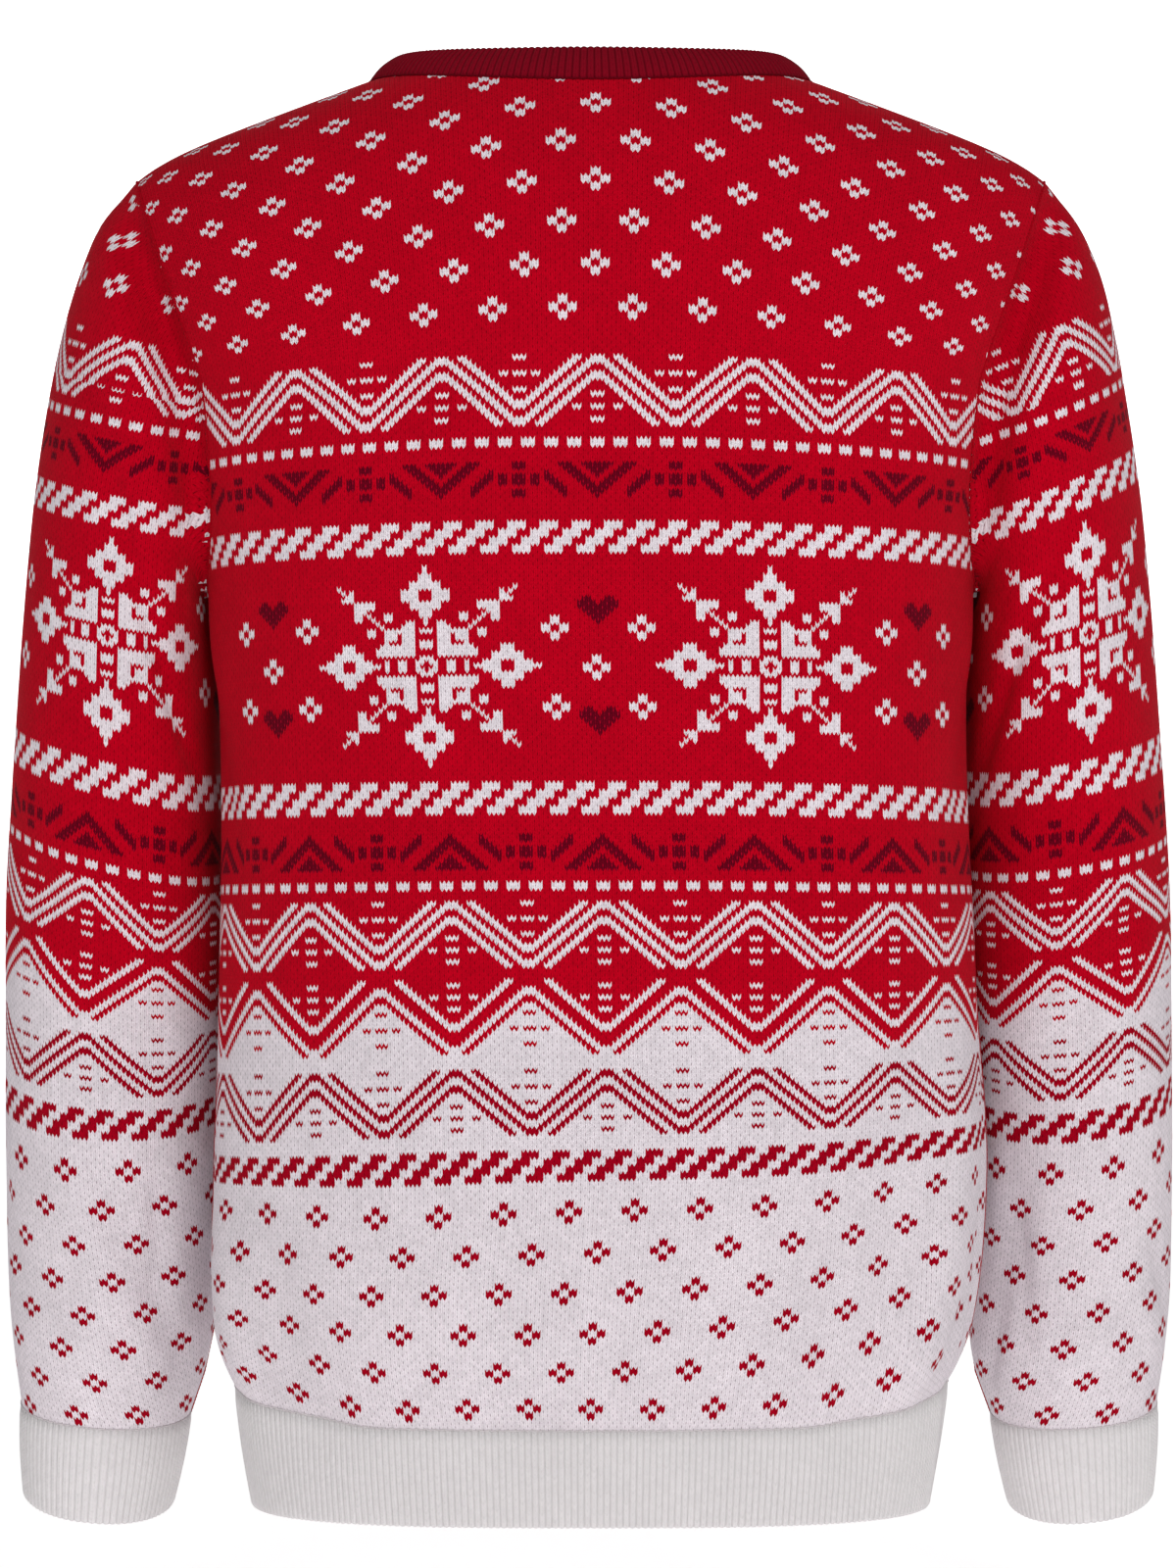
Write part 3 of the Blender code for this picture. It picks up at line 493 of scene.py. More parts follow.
def between(grid: Array, row: Array, column: Array) -> Array:
    """Reads a dense grid between its points. Columns past the last one start again at the first.

    Args:
        grid: rows and columns of points.
        row: rows, as fractions.
        column: columns, as fractions.

    Returns:
        The points there.
    """
    i, j = np.floor(row).astype(int), np.floor(column).astype(int)
    a, b = (row - i)[..., None], (column - j)[..., None]
    here, beside = j % grid.shape[1], (j + 1) % grid.shape[1]
    first = grid[i, here] * (1 - b) + grid[i, beside] * b
    second = grid[i + 1, here] * (1 - b) + grid[i + 1, beside] * b
    return first * (1 - a) + second * a


@dataclass(eq=False)
class BodySurface:
    """The outer surface of the back or the front, over a share across and a level up.

    The share runs from -1 to 1 between the side seams. The level is 0 at the hem rib, 1 at the chest and
    2 on the shoulder seam.
    """

    side: Half
    across: int = 160
    low: int = 260
    high: int = 130
    folds_below: float = -0.235
    folds_fade: float = 0.060
    creases_fade: float = 0.012
    shares_tried: int = 2001
    levels_tried: int = 1301
    halvings: int = 26
    edge_points: int = 61

    YOKE_BEND = {Half.BACK: 2.3, Half.FRONT: 1.9}
    NECK_DEPTH = {Half.BACK: 0.075, Half.FRONT: 0.098}

    def __post_init__(self) -> None:
        """Lays out the dense grid of points and normals."""
        self.shares = np.linspace(-1, 1, 2 * self.across + 1)
        low = np.linspace(0, 1, self.low + 1)
        high = np.linspace(0, 1, self.high + 1)[1:]
        self.levels = np.append(low, 1 + high)
        self.edge_share = self.share_at_depth(CHEST, ARMHOLE_HALF_DEPTH)
        rows = [self.low_row(HEM_TOP + level * (CHEST - HEM_TOP)) for level in low]
        rows += [self.high_row(part * math.pi / 2) for part in high]
        flat = np.array(rows)
        self.normals = self.find_normals(flat)
        self.points = flat + self.normals * self.folds(flat)[..., None]
        self.normals = self.find_normals(self.points)
        middle = self.points[self.low :, self.across]
        self.arc = np.append(0, np.cumsum(np.linalg.norm(np.diff(middle, axis=0), axis=1)))

    def section(self, height: float, shares: Array) -> tuple[Array, Array]:
        """Points of the level section at a height.

        Args:
            height: the height.
            shares: shares of the half width, from the middle.

        Returns:
            The distances to the left and away from the middle plane.
        """
        columns = "half_width", "back_depth" if self.side is Half.BACK else "front_depth", "squareness"
        sizes = [smooth_column(BODY_SECTIONS, "height", column, height) for column in columns]
        return quarter_section(*sizes, shares)

    def share_at_depth(self, height: float, depth: float) -> float:
        """The share where a section comes down to a depth, towards the side seam."""
        shares = np.linspace(0, 1, self.shares_tried)
        return float(np.interp(-depth, -self.section(height, shares)[1], shares))

    def low_row(self, height: float) -> Array:
        """A row of points below the chest.

        Args:
            height: the height of the row at its middle.

        Returns:
            The points.
        """
        x, y = self.section(height, self.shares)
        x = x + smooth_column(BODY_SECTIONS, "height", "shift", height)
        fade = max(0.0, 1 - (height - HEM_TOP) / HEM_RISE_FADES) ** 2
        return np.stack([x, self.side * y, height + hem_rise(self.shares) * fade], axis=-1)

    def high_row(self, angle: float) -> Array:
        """A row of the yoke, where each wale bends over to the shoulder line.

        Args:
            angle: how far it is bent: 0 at the chest, a right angle on the shoulder line.

        Returns:
            The points.
        """
        x, y = self.section(CHEST, self.shares)
        edge_x = float(self.section(CHEST, np.array([self.edge_share]))[0][0])
        spread = ARMHOLE_TOP_WIDTH / edge_x - 1
        bend = 2 / self.YOKE_BEND[self.side]
        z = CHEST + (shoulder_height(x * (1 + spread)) - CHEST) * math.sin(angle) ** bend
        x = x * (1 + spread * math.sin(angle) ** SHOULDER_LEAN)
        y = y * max(math.cos(angle), 0.0) ** bend
        return np.stack([x, self.side * y, z], axis=-1)

    def folds(self, points: Array) -> Array:
        """How far the folds and creases move the surface.

        Args:
            points: the surface without them.

        Returns:
            The distances along the normals.
        """
        around = np.broadcast_to(self.shares, points.shape[:2])
        if self.side is Half.FRONT:
            around = np.where(around < 0, -2 - around, 2 - around)
        height = points[..., 2]
        fade = np.clip((self.folds_below - height) / self.folds_fade, 0, 1)
        seam = np.clip((height - HEM_TOP - hem_rise(self.shares)) / self.creases_fade, 0, 1)
        seam = seam * seam * (3 - 2 * seam)
        folds, creases = (
            sum(fold.at(self.apart(around, fold.around), height - fold.place) for fold in table)
            for table in (BODY_FOLDS, BODY_CREASES)
        )
        return folds * fade + creases * seam

    @staticmethod
    def apart(around: Array, middle: float) -> Array:
        """How far places round the body lie from one of them, in metres."""
        return ((around - middle + 2) % 4 - 2) * BODY_QUARTER

    def find_normals(self, points: Array) -> Array:
        """Outward normals, level with the side seams and shoulder seams on their lines.

        Args:
            points: the surface.

        Returns:
            The unit normals.
        """
        across = np.gradient(points, self.shares, axis=1)
        up = np.gradient(points, self.levels, axis=0)
        normals = unit(np.cross(up, across)) * self.side
        normals[np.abs(points[..., 1]) < ON_SEAM, 1] = 0
        return unit(normals)

    def read(self, grid: Array, share: Array, level: Array) -> Array:
        """Reads a dense grid between its points.

        Args:
            grid: points or normals.
            share: shares across.
            level: levels up.

        Returns:
            Those of the surface there.
        """
        column = np.clip((np.asarray(share) + 1) * self.across, 0, 2 * self.across - 1e-9)
        level = np.asarray(level, float)
        row = np.where(level < 1, level * self.low, self.low + (level - 1) * self.high)
        return between(grid, np.clip(row, 0, self.low + self.high - 1e-9), column)

    def at(self, share: Array, level: Array) -> Array:
        """Points of the surface."""
        return self.read(self.points, share, level)

    def line(self, share: Array | float, level: Array | float) -> tuple[Array, Array]:
        """Points of the surface and its unit normals there."""
        share, level = np.broadcast_arrays(share, level)
        return self.at(share, level), unit(self.read(self.normals, share, level))

    def level_of(self, height: Array) -> Array:
        """The level of a height, which beyond the chest is counted along the middle of the cloth.

        Args:
            height: the heights.

        Returns:
            The levels.
        """
        low = (height - HEM_TOP) / (CHEST - HEM_TOP)
        high = 1 + np.interp(height - CHEST, self.arc, np.linspace(0, 1, len(self.arc)))
        return np.where(height > CHEST, high, low)

    def height_of(self, level: Array) -> Array:
        """The height that a level stands for."""
        high = CHEST + np.interp(level - 1, np.linspace(0, 1, len(self.arc)), self.arc)
        return np.where(level > 1, high, HEM_TOP + level * (CHEST - HEM_TOP))

    def edge_at(self, level: Array) -> Array:
        """The share of the armhole or the side seam at a level.

        Args:
            level: the levels.

        Returns:
            The shares.
        """
        angle = np.linspace(0, math.pi / 2, self.edge_points)
        heights = CHEST - (CHEST - UNDERARM) * np.cos(angle)
        shares = [self.share_at_depth(h, ARMHOLE_HALF_DEPTH * math.sin(a)) for h, a in zip(heights, angle)]
        shares[0] = 1.0
        return np.interp(level, (heights - HEM_TOP) / (CHEST - HEM_TOP), shares)

    def neck_edge(self, count: int = 48) -> tuple[Array, Array]:
        """Shares and levels of the neck edge, from its middle to the shoulder seam.

        Args:
            count: how many steps the edge is found in.

        Returns:
            The shares and the levels.
        """
        shares, levels = [], []
        for angle in np.linspace(0, math.pi / 2, count + 1):
            x, y = NECK_HALF_WIDTH * math.sin(angle), self.NECK_DEPTH[self.side] * math.cos(angle)

            def level_at(share: float) -> float:
                """The level at which a wale comes to the depth of the edge.

                Args:
                    share: the share of the wale.

                Returns:
                    The level.
                """
                if y < ON_SEAM:
                    return 2.0
                line = np.linspace(1.0, 2.0, self.levels_tried)
                return float(np.interp(-y, -np.abs(self.at(np.full_like(line, share), line)[:, 1]), line))

            low, high = 0.0, 1.0
            for _ in range(self.halvings):
                middle = (low + high) / 2
                if x > self.at(middle, level_at(middle))[0]:
                    low = middle
                else:
                    high = middle
            shares.append(0.0 if angle == 0 else (low + high) / 2)
            levels.append(level_at(shares[-1]))
        return np.array(shares), np.array(levels)


@dataclass(eq=False)
class SleeveSurface:
    """The outer surface of a sleeve, as a dense grid of rings from the cap seam to the cuff seam.

    The cap is the armhole at +X, from the shoulder tip down its back and up its front, and away is the
    way off the cloth at each of its points.
    """

    arm: Arm
    cap: Array
    away: Array
    around: int = 720
    finer: int = 5
    valley_depth: float = 0.0058
    valley_outer: float = 0.0005
    valley_grown: float = 0.4
    valley_down: float = 0.011
    valley_width: float = 0.009
    valley_starts: float = 0.004
    folds_grown: float = 0.3
    creases_grown: float = 0.05
    cuff_fade: float = 0.06

    def __post_init__(self) -> None:
        """Lays out the dense grid at +X."""
        self.angles = 2 * math.pi * np.arange(self.around) / self.around
        leaving = CAP_LEAVES[0] + CAP_LEAVES[1] * (1 + np.cos(self.angles)) / 2
        start = self.cap + self.away * SEAM_GAP
        rings = [start, start + self.away * leaving[:, None]]
        rings += [self.ring_points(self.own_ring(ring, self.arm), self.angles) for ring in SLEEVE_RINGS]
        counts = [self.finer, *(self.finer * ring.facets for ring in SLEEVE_RINGS)]
        points = self.smooth_rings(np.array(rings), counts)
        steps = np.linalg.norm(np.diff(points, axis=0), axis=-1)
        self.down = np.concatenate([np.zeros((1, points.shape[1])), np.cumsum(steps, axis=0)])
        folds, creases = LEFT_FOLDS, LEFT_CREASES
        if self.arm is Arm.RIGHT:
            folds, creases = RIGHT_FOLDS, RIGHT_CREASES
        rise = self.fold_rise(folds, self.folds_grown) + self.fold_rise(creases, self.creases_grown)
        rise += self.cap_valley()
        self.points = points + self.find_normals(points) * rise[..., None]
        self.normals = self.find_normals(self.points)

    @staticmethod
    def own_ring(ring: SleeveRing, arm: Arm) -> SleeveRing:
        """The ring of one of the sleeves, still at +X.

        Args:
            ring: the ring of the left sleeve.
            arm: the arm.

        Returns:
            Its own ring.
        """
        if arm is Arm.LEFT:
            return ring
        return ring._replace(outer_x=ring.outer_x + ring.right_outer, inner_x=ring.inner_x + ring.right_inner)

    @staticmethod
    def ring_points(ring: SleeveRing, angle: Array) -> Array:
        """A ring's points at +X. The angle is 0 on the outer line and runs over the back.

        Args:
            ring: the ring.
            angle: the angles.

        Returns:
            The points.
        """
        bend = 2 / SLEEVE_SQUARENESS
        out = np.sign(np.cos(angle)) * np.abs(np.cos(angle)) ** bend
        deep = np.sign(np.sin(angle)) * np.abs(np.sin(angle)) ** bend
        x = (ring.outer_x + ring.inner_x) / 2 + (ring.outer_x - ring.inner_x) / 2 * out
        z = (ring.outer_z + ring.inner_z) / 2 + (ring.outer_z - ring.inner_z) / 2 * out - ring.dip * deep
        return np.stack([x, ring.middle_y + ring.half_depth * deep, z], axis=-1)

    @staticmethod
    def smooth_rings(rings: Array, counts: Sequence[int]) -> Array:
        """Adds rings between the given ones, on a smooth curve through each column of points.

        Args:
            rings: the points of the given rings.
            counts: how many steps lead from each ring to the next.

        Returns:
            The points of all the rings.
        """
        spans = np.linalg.norm(np.diff(rings, axis=0), axis=-1)[..., None]
        slopes = np.diff(rings, axis=0) / spans
        ways = np.empty_like(rings)
        ways[0], ways[-1] = slopes[0], slopes[-1]
        ways[1:-1] = (slopes[:-1] * spans[1:] + slopes[1:] * spans[:-1]) / (spans[:-1] + spans[1:])
        result = [rings[0]]
        for k, count in enumerate(counts):
            ends = rings[k], ways[k], rings[k + 1], ways[k + 1]
            result += [hermite(step / count, spans[k], *ends) for step in range(1, count + 1)]
        return np.array(result)

    def cap_valley(self) -> Array:
        """The valley in which the sleeve lies beside the armhole, deepest over the back and the front.

        Returns:
            The rise, which is below 0.
        """
        out = np.cos(self.angles)
        depth = self.valley_depth * np.sin(self.angles) ** 2 * np.clip((1 + out) / self.valley_grown, 0, 1)
        depth += self.valley_outer * (1 + out)
        down = np.exp(-(((self.down - self.valley_down) / self.valley_width) ** 2))
        return -depth * down * np.clip(self.down / self.valley_starts, 0, 1)

    def fold_rise(self, folds: Sequence[Fold], grown: float) -> Array:
        """Sum of folds that are fully grown a share of the way down. It is 0 at the cap seam and the cuff.

        Args:
            folds: the folds.
            grown: the share of the way at which they are fully grown.

        Returns:
            The rise.
        """
        share = self.down / self.down[-1]
        total = np.zeros_like(share)
        for fold in folds:
            apart = (self.angles - math.radians(fold.around) + math.pi) % (2 * math.pi) - math.pi
            total += fold.at(apart * SLEEVE_RADIUS, (share - fold.place) * self.down[-1])
        return total * np.clip(share / grown, 0, 1) * np.clip((1 - share) / self.cuff_fade, 0, 1)

    @staticmethod
    def find_normals(points: Array) -> Array:
        """Outward normals of a tube of rings."""
        across = np.roll(points, -1, axis=1) - np.roll(points, 1, axis=1)
        return unit(np.cross(np.gradient(points, axis=0), across))

    def read(self, grid: Array, ring: Array, column: Array) -> Array:
        """Reads a dense grid between its points, round the sleeve as well."""
        return between(grid, np.clip(ring, 0, len(grid) - 1 - 1e-9), column)


class Limit(IntEnum):
    """Edges of a piece that a stitch corner can lie beyond, as bits, and the plain stitches beside a seam."""

    FIRST_SIDE = 1
    SECOND_SIDE = 2
    TOP = 4
    BOTTOM = 8
    PLAIN = 16


class Patch(NamedTuple):
    """A grid of stitch corners, rows by wales.

    Numbers are the wale and the row of each corner, and stitches are the same where a corner is held on
    an edge of the piece. Limits are the edges that it lies beyond.
    """

    points: Array
    normals: Array
    numbers: Array
    stitches: Array
    limits: Array

    def inside(self, depth: float | Array) -> Patch:
        """The same patch on the inner face of the cloth."""
        return self._replace(points=self.points - self.normals * depth)

    def mirrored(self) -> Patch:
        """The same patch on the other side of the middle plane."""
        flip = np.array([-1.0, 1.0, 1.0])
        return self._replace(points=self.points * flip, normals=self.normals * flip)


class Chart:
    """The chart of the jacquard: the yarn of the stitch at a wale and a row, with painted shade on the red of
    the lower rows.
    """

    ZIGZAG, ROPE, DASH, FLOWER, FLAKE = 34, 7, 5, 15, 76
    FLOWER_ROWS, FLOWER_WALES, YOKE_WALES, SLEEVE_LOWEST = 11, (0, 7), (6, -1), -40
    ZIGZAG_CLIMB, ZIGZAG_TOP, EDGED_TOP, CHEVRON_REACH = 15, 16, 18, 4
    ROPE_ROWS, ROPE_BLOCK, DASH_ROWS, DASH_LENGTH = 8, 4, 2, 3
    FLAKE_WALE, FLAKE_ROW, HEART_WALE = 36, 200, -2
    # Rows where the bands start or end, counted up from the hem rib
    LOW_FLOWERS, LOW_FLOWERS_END, LOW_ROPE, LOW_ZIGZAG, LOW_ZIGZAG_END = 6, 68, 69, 81, 99
    EDGED_ZIGZAG, WHITE_END, FIRST_ZIGZAG, SECOND_ZIGZAG, YOKE, YOKE_FLOWERS = 102, 121, 124, 261, 284, 290
    DASHES, ROPES, HEARTS, CHEVRONS = (144, 256), (163, 229), (183, 211), (153, 247)
    # Below this row the red is darkened as painted shade, for the light falling off lower down
    SHADED_BELOW = 100
    # The flowers between two snowflakes, as their wales and their rows above the middle of one
    SMALL_FLOWERS = ((8, 10), (8, -10), (-11, 10), (-11, -10), (-1, 0))
    BODY_FLAKES_WITHIN = 80

    def __init__(self, on_sleeve: bool, aside: tuple[int, int] = (0, 0)) -> None:
        """Sets how the chart is laid out.

        Args:
            on_sleeve: whether the flowers below carry on to the cuff, half a step aside.
            aside: by how many wales the flowers below and the bands above them are moved.
        """
        self.on_sleeve = on_sleeve
        self.aside = aside

    @staticmethod
    def from_middle(wale: Array, middle: float, period: int) -> Array:
        """Stitches from the nearest of the middles that repeat at a period."""
        return (wale - middle + period // 2) % period - period // 2

    @staticmethod
    def flower(dx: Array, dy: Array) -> Array:
        """A flower of four square petals round a corner of four stitches."""
        upright = np.isin(dx, (-1, 0)) & np.isin(dy, (-3, -2, 1, 2))
        return upright | (np.isin(dy, (-1, 0)) & np.isin(dx, (-3, -2, 1, 2)))

    def flowers(self, wale: Array, row: Array, first_row: int, first_wale: int, second_wale: int) -> Array:
        """Rows of flowers, each one half a step aside from the one below.

        Args:
            wale: the wales of stitches.
            row: their rows.
            first_row: the row of the first flowers.
            first_wale: a flower in it and in every second row of flowers.
            second_wale: a flower in the rows of flowers between.

        Returns:
            True for the stitches that belong to it.
        """
        number = np.floor((row - first_row) / self.FLOWER_ROWS + 0.5)
        across = self.from_middle(wale, np.where(number % 2 == 0, first_wale, second_wale), self.FLOWER)
        return self.flower(across, row - first_row - number * self.FLOWER_ROWS)

    def zigzag(self, wale: Array, up: Array) -> Array:
        """Three lines that zigzag together, with a small tree of dashes in every corner.

        Args:
            wale: the wales of stitches.
            up: their rows above the first row of the band.

        Returns:
            True for the stitches that belong to it.
        """
        peak = self.from_middle(wale, -2, self.ZIGZAG)
        valley = self.from_middle(wale, -2 + self.ZIGZAG // 2, self.ZIGZAG)
        level = up - self.ZIGZAG_CLIMB + np.clip(np.abs(peak) - 1, 0, self.ZIGZAG_CLIMB)
        lines = np.isin(level, (0, 1, 4, 5, -4, -3))
        trees = self.tree(valley, up, (8, 12, 16), (3, 4)) | self.tree(peak, up, (1, 4, 7), (4, 5))
        return (lines | trees) & (up >= 0) & (up <= self.ZIGZAG_TOP)

    @staticmethod
    def tree(dx: Array, up: Array, rows: Sequence[int], beside: Sequence[int]) -> Array:
        """Dashes above each other, with one more on both sides of the middle one."""
        dashes = (np.abs(dx) <= 1) & np.isin(up, rows)
        return dashes | (np.isin(np.abs(dx), beside) & (up == rows[1]))

    def edged_zigzag(self, wale: Array, up: Array) -> Array:
        """The zigzag where the ground changes, as a mask of white.

        Args:
            wale: the wales of stitches.
            up: their rows above the first row of the band.

        Returns:
            True for the white stitches.
        """
        valley = self.from_middle(wale, -2, self.ZIGZAG)
        peak = self.from_middle(wale, -2 + self.ZIGZAG // 2, self.ZIGZAG)
        level = up - np.clip(np.abs(valley) - 1, 0, self.ZIGZAG_CLIMB)
        second_line = np.isin(level, (6, 7)) & (up <= self.EDGED_TOP)
        white = (level < -2) | np.isin(level, (0, 1)) | second_line | (up < 0)
        red_tree = self.tree(peak, up, (2, 6, 10), (3, 4))
        return (white & ~red_tree) | self.tree(valley, up, (11, 14, 17), (4, 5))

    def rope(self, wale: Array, up: Array) -> Array:
        """A rope of blocks that slant one wale a row, in steps of two."""
        slant = (self.ROPE_ROWS - 1 - up) // 2 * 2
        return ((wale - slant) % self.ROPE < self.ROPE_BLOCK) & (up >= 0) & (up < self.ROPE_ROWS)

    @staticmethod
    def flake(dx: Array, dy: Array) -> Array:
        """A snowflake of stepped diamonds, corner blocks and sprigs, the same on all its eight sides.

        Args:
            dx: stitches to the left or right of its middle.
            dy: rows above or below its middle.

        Returns:
            True for the stitches that belong to it.
        """
        a, b = np.minimum(np.abs(dx), np.abs(dy)), np.maximum(np.abs(dx), np.abs(dy))
        out = np.abs(b - 18)
        point = (out // 2 * 2 + a <= 5) & ~((a <= 1) & (out <= 1))
        tip = ((a <= 1) & (b == 23)) | ((a == 0) & np.isin(b, (11, 12, 24, 25)))
        bead = (a <= 1) & np.isin(b, (5, 6, 9))
        stroke = (a >= 3) & (a <= 5) & (a + b <= 15) & (b <= 11)
        knot = ((a >= 7) & (b <= 9)) | ((a == 6) & (b == 9))
        stem = (a == b) & (b >= 10) & (b <= 20)
        leaf = ((a >= 12) & (b >= 15) & (b <= 16)) | ((a == 17) & (b <= 19))
        spot = (a >= 8) & (a <= 9) & (b >= 12) & (b <= 13)
        ring = (b <= 2) & (a + b >= 2) & (a + b <= 3)
        return point | tip | bead | stroke | knot | stem | leaf | spot | ring

    def chevrons(self, wale: Array, up: Array) -> Array:
        """Chevrons that point down, with a triangle in each one and a small tree between two.

        Args:
            wale: the wales of stitches.
            up: their rows above the middle row of the band.

        Returns:
            True for the stitches that belong to it.
        """
        dx = np.abs(self.from_middle(wale, -2, self.ZIGZAG))
        chevron = np.isin(up + self.CHEVRON_REACH - dx, (0, 1, 2)) & (dx <= 2 * self.CHEVRON_REACH)
        stroke = (np.abs(up + 10 - dx) <= 1) & (dx >= 7) & (dx <= 11)
        tree = (dx >= 16) & np.isin(up, (-4, -3, -1, 0, 1, 3, 4))
        spot = np.isin(dx, (13, 14)) & (np.abs(up) <= 1)
        return (chevron | stroke | tree | spot | (dx < up)) & (np.abs(up) <= self.CHEVRON_REACH)

    def heart(self, wale: Array, up: Array) -> Array:
        """A heart whose lowest row is 0.

        Args:
            wale: the wales of stitches.
            up: their rows above the lowest one.

        Returns:
            True for the stitches that belong to it.
        """
        cells = np.array([[letter == "X" for letter in line] for line in HEART[::-1]])
        dx = self.from_middle(wale, self.HEART_WALE, self.FLAKE) + cells.shape[1] // 2
        inside = (dx >= 0) & (dx < cells.shape[1]) & (up >= 0) & (up < cells.shape[0])
        return inside & cells[np.clip(up, 0, cells.shape[0] - 1), np.clip(dx, 0, cells.shape[1] - 1)]

    def read(self, wale: Array, row: Array) -> Array:
        """The yarns of stitches.

        Args:
            wale: their wales, as whole numbers.
            row: their rows, counted up from the hem rib.

        Returns:
            The codes of their yarns.
        """
        first_wales = self.FLOWER_WALES[::-1] if self.on_sleeve else self.FLOWER_WALES
        lowest = self.SLEEVE_LOWEST if self.on_sleeve else 0
        below, moved = wale + self.aside[0], wale + self.aside[1]
        flowers = self.flowers(below, row, self.LOW_FLOWERS, *first_wales) & (row >= lowest)
        white = ~(flowers & (row < self.LOW_FLOWERS_END))
        white &= ~self.rope(wale, row - self.LOW_ROPE) & ~self.zigzag(moved, row - self.LOW_ZIGZAG)
        edged = self.edged_zigzag(moved, row - self.EDGED_ZIGZAG)
        white = np.where(row >= self.LOW_ZIGZAG_END, edged, white) & (row < self.WHITE_END)
        white |= self.zigzag(moved, row - self.FIRST_ZIGZAG) | self.zigzag(wale, row - self.SECOND_ZIGZAG)
        for start in self.DASHES:
            dashes = (wale + self.DASH_LENGTH) % self.DASH < self.DASH_LENGTH
            white |= dashes & (row >= start) & (row < start + self.DASH_ROWS)
        for start in self.ROPES:
            white |= self.rope(wale, row - start)
        across, up = self.from_middle(wale, self.FLAKE_WALE, self.FLAKE), row - self.FLAKE_ROW
        white |= self.flake(across, up) & ((np.abs(wale) < self.BODY_FLAKES_WITHIN) | self.on_sleeve)
        for middle, above in self.SMALL_FLOWERS:
            white |= self.flower(self.from_middle(wale, middle, self.FLAKE), up - above)
        white |= self.flowers(wale, row, self.YOKE_FLOWERS, *self.YOKE_WALES) & (row >= self.YOKE)
        wine = self.chevrons(moved, self.CHEVRONS[0] - row) | self.chevrons(wale, row - self.CHEVRONS[1])
        for start in self.HEARTS:
            wine |= self.heart(wale, row - start)
        # The red of the lower rows is darkened as painted shade
        red = np.where(row < self.SHADED_BELOW, Yarn.DEEP, Yarn.RED)
        return np.where(wine, Yarn.WINE, np.where(white, Yarn.WHITE, red))


@dataclass(eq=False)
class Panel:
    """The back or the front: its surface, its courses and the patch of its stitches."""

    half: Half
    wales: int = 126
    lowest: int = -18
    highest: int = 411

    DENSE = np.linspace(-1, 1, 201)
    NEAR_SEAM = 1e-5

    def __post_init__(self) -> None:
        """Works out the surface and the neck edge."""
        self.surface = BodySurface(self.half)
        self.neck_shares, self.neck_levels = self.surface.neck_edge()
        self.drifts = BACK_DRIFTS if self.half is Half.BACK else FRONT_DRIFTS

    def drift(self, height: Array, share: Array) -> Array:
        """How far courses stand above their height at the middle, at a share of the width.

        Args:
            height: the heights of the courses, in one column.
            share: shares of the half width, rows by wales.

        Returns:
            How far they stand above it.
        """
        rises = np.array([drift.rises for drift in self.drifts])
        across = smooth_between(np.array(DRIFT_SHARES), rises.T, self.DENSE).T
        heights = np.array([drift.height for drift in self.drifts])
        rows = smooth_between(heights, across, np.clip(height[:, 0], heights[0], heights[-1]))
        return np.array([np.interp(place, self.DENSE, row) for place, row in zip(share, rows)])

    def patch(self, step: int) -> Patch:
        """The stitch corners of the outer face.

        Args:
            step: how many stitches apart they are.

        Returns:
            The patch.
        """
        wales = np.arange(-self.wales, self.wales + 1, step)
        rows = np.arange(self.lowest, self.highest + 1, step)
        height = table_column(COURSES, "row", "height", rows)[:, None]
        count = table_column(COURSES, "row", "wales", rows)[:, None]
        share = wales[None, :] / count
        edge = self.surface.edge_at(self.surface.level_of(height))
        level = self.surface.level_of(height + self.drift(height, np.clip(share, -edge, edge)))
        edge = self.surface.edge_at(level)
        held_share = np.clip(share, -edge, edge)
        top = np.interp(np.abs(held_share), self.neck_shares, self.neck_levels)
        held_level = np.clip(level, 0, top)
        limits = (share > edge) * Limit.FIRST_SIDE | (share < -edge) * Limit.SECOND_SIDE
        limits |= (level > top) * Limit.TOP | (level < 0) * Limit.BOTTOM
        tall = np.gradient(height[:, 0], rows)[:, None]
        moved = self.surface.height_of(held_level) - self.surface.height_of(level)
        stitches = np.stack([held_share * count, rows[:, None] + moved / tall], axis=-1)
        points, normals = self.surface.line(held_share, held_level)
        seam = np.abs(points[..., 1]) < self.NEAR_SEAM
        points[seam, 1] = self.half * SEAM_GAP / 2
        normals[seam, 1] = 0
        numbers = np.stack(np.meshgrid(wales, rows), axis=-1)
        return Patch(points, unit(normals), numbers, stitches, limits)

    def inner(self, patch: Patch) -> Patch:
        """The inner face of a patch, kept on its side of the seams.

        Args:
            patch: the patch of the outer face.

        Returns:
            The inner one.
        """
        inside = patch.inside(CLOTH)
        inside.points[..., 1] = self.half * np.maximum(self.half * inside.points[..., 1], SEAM_GAP / 2)
        return inside


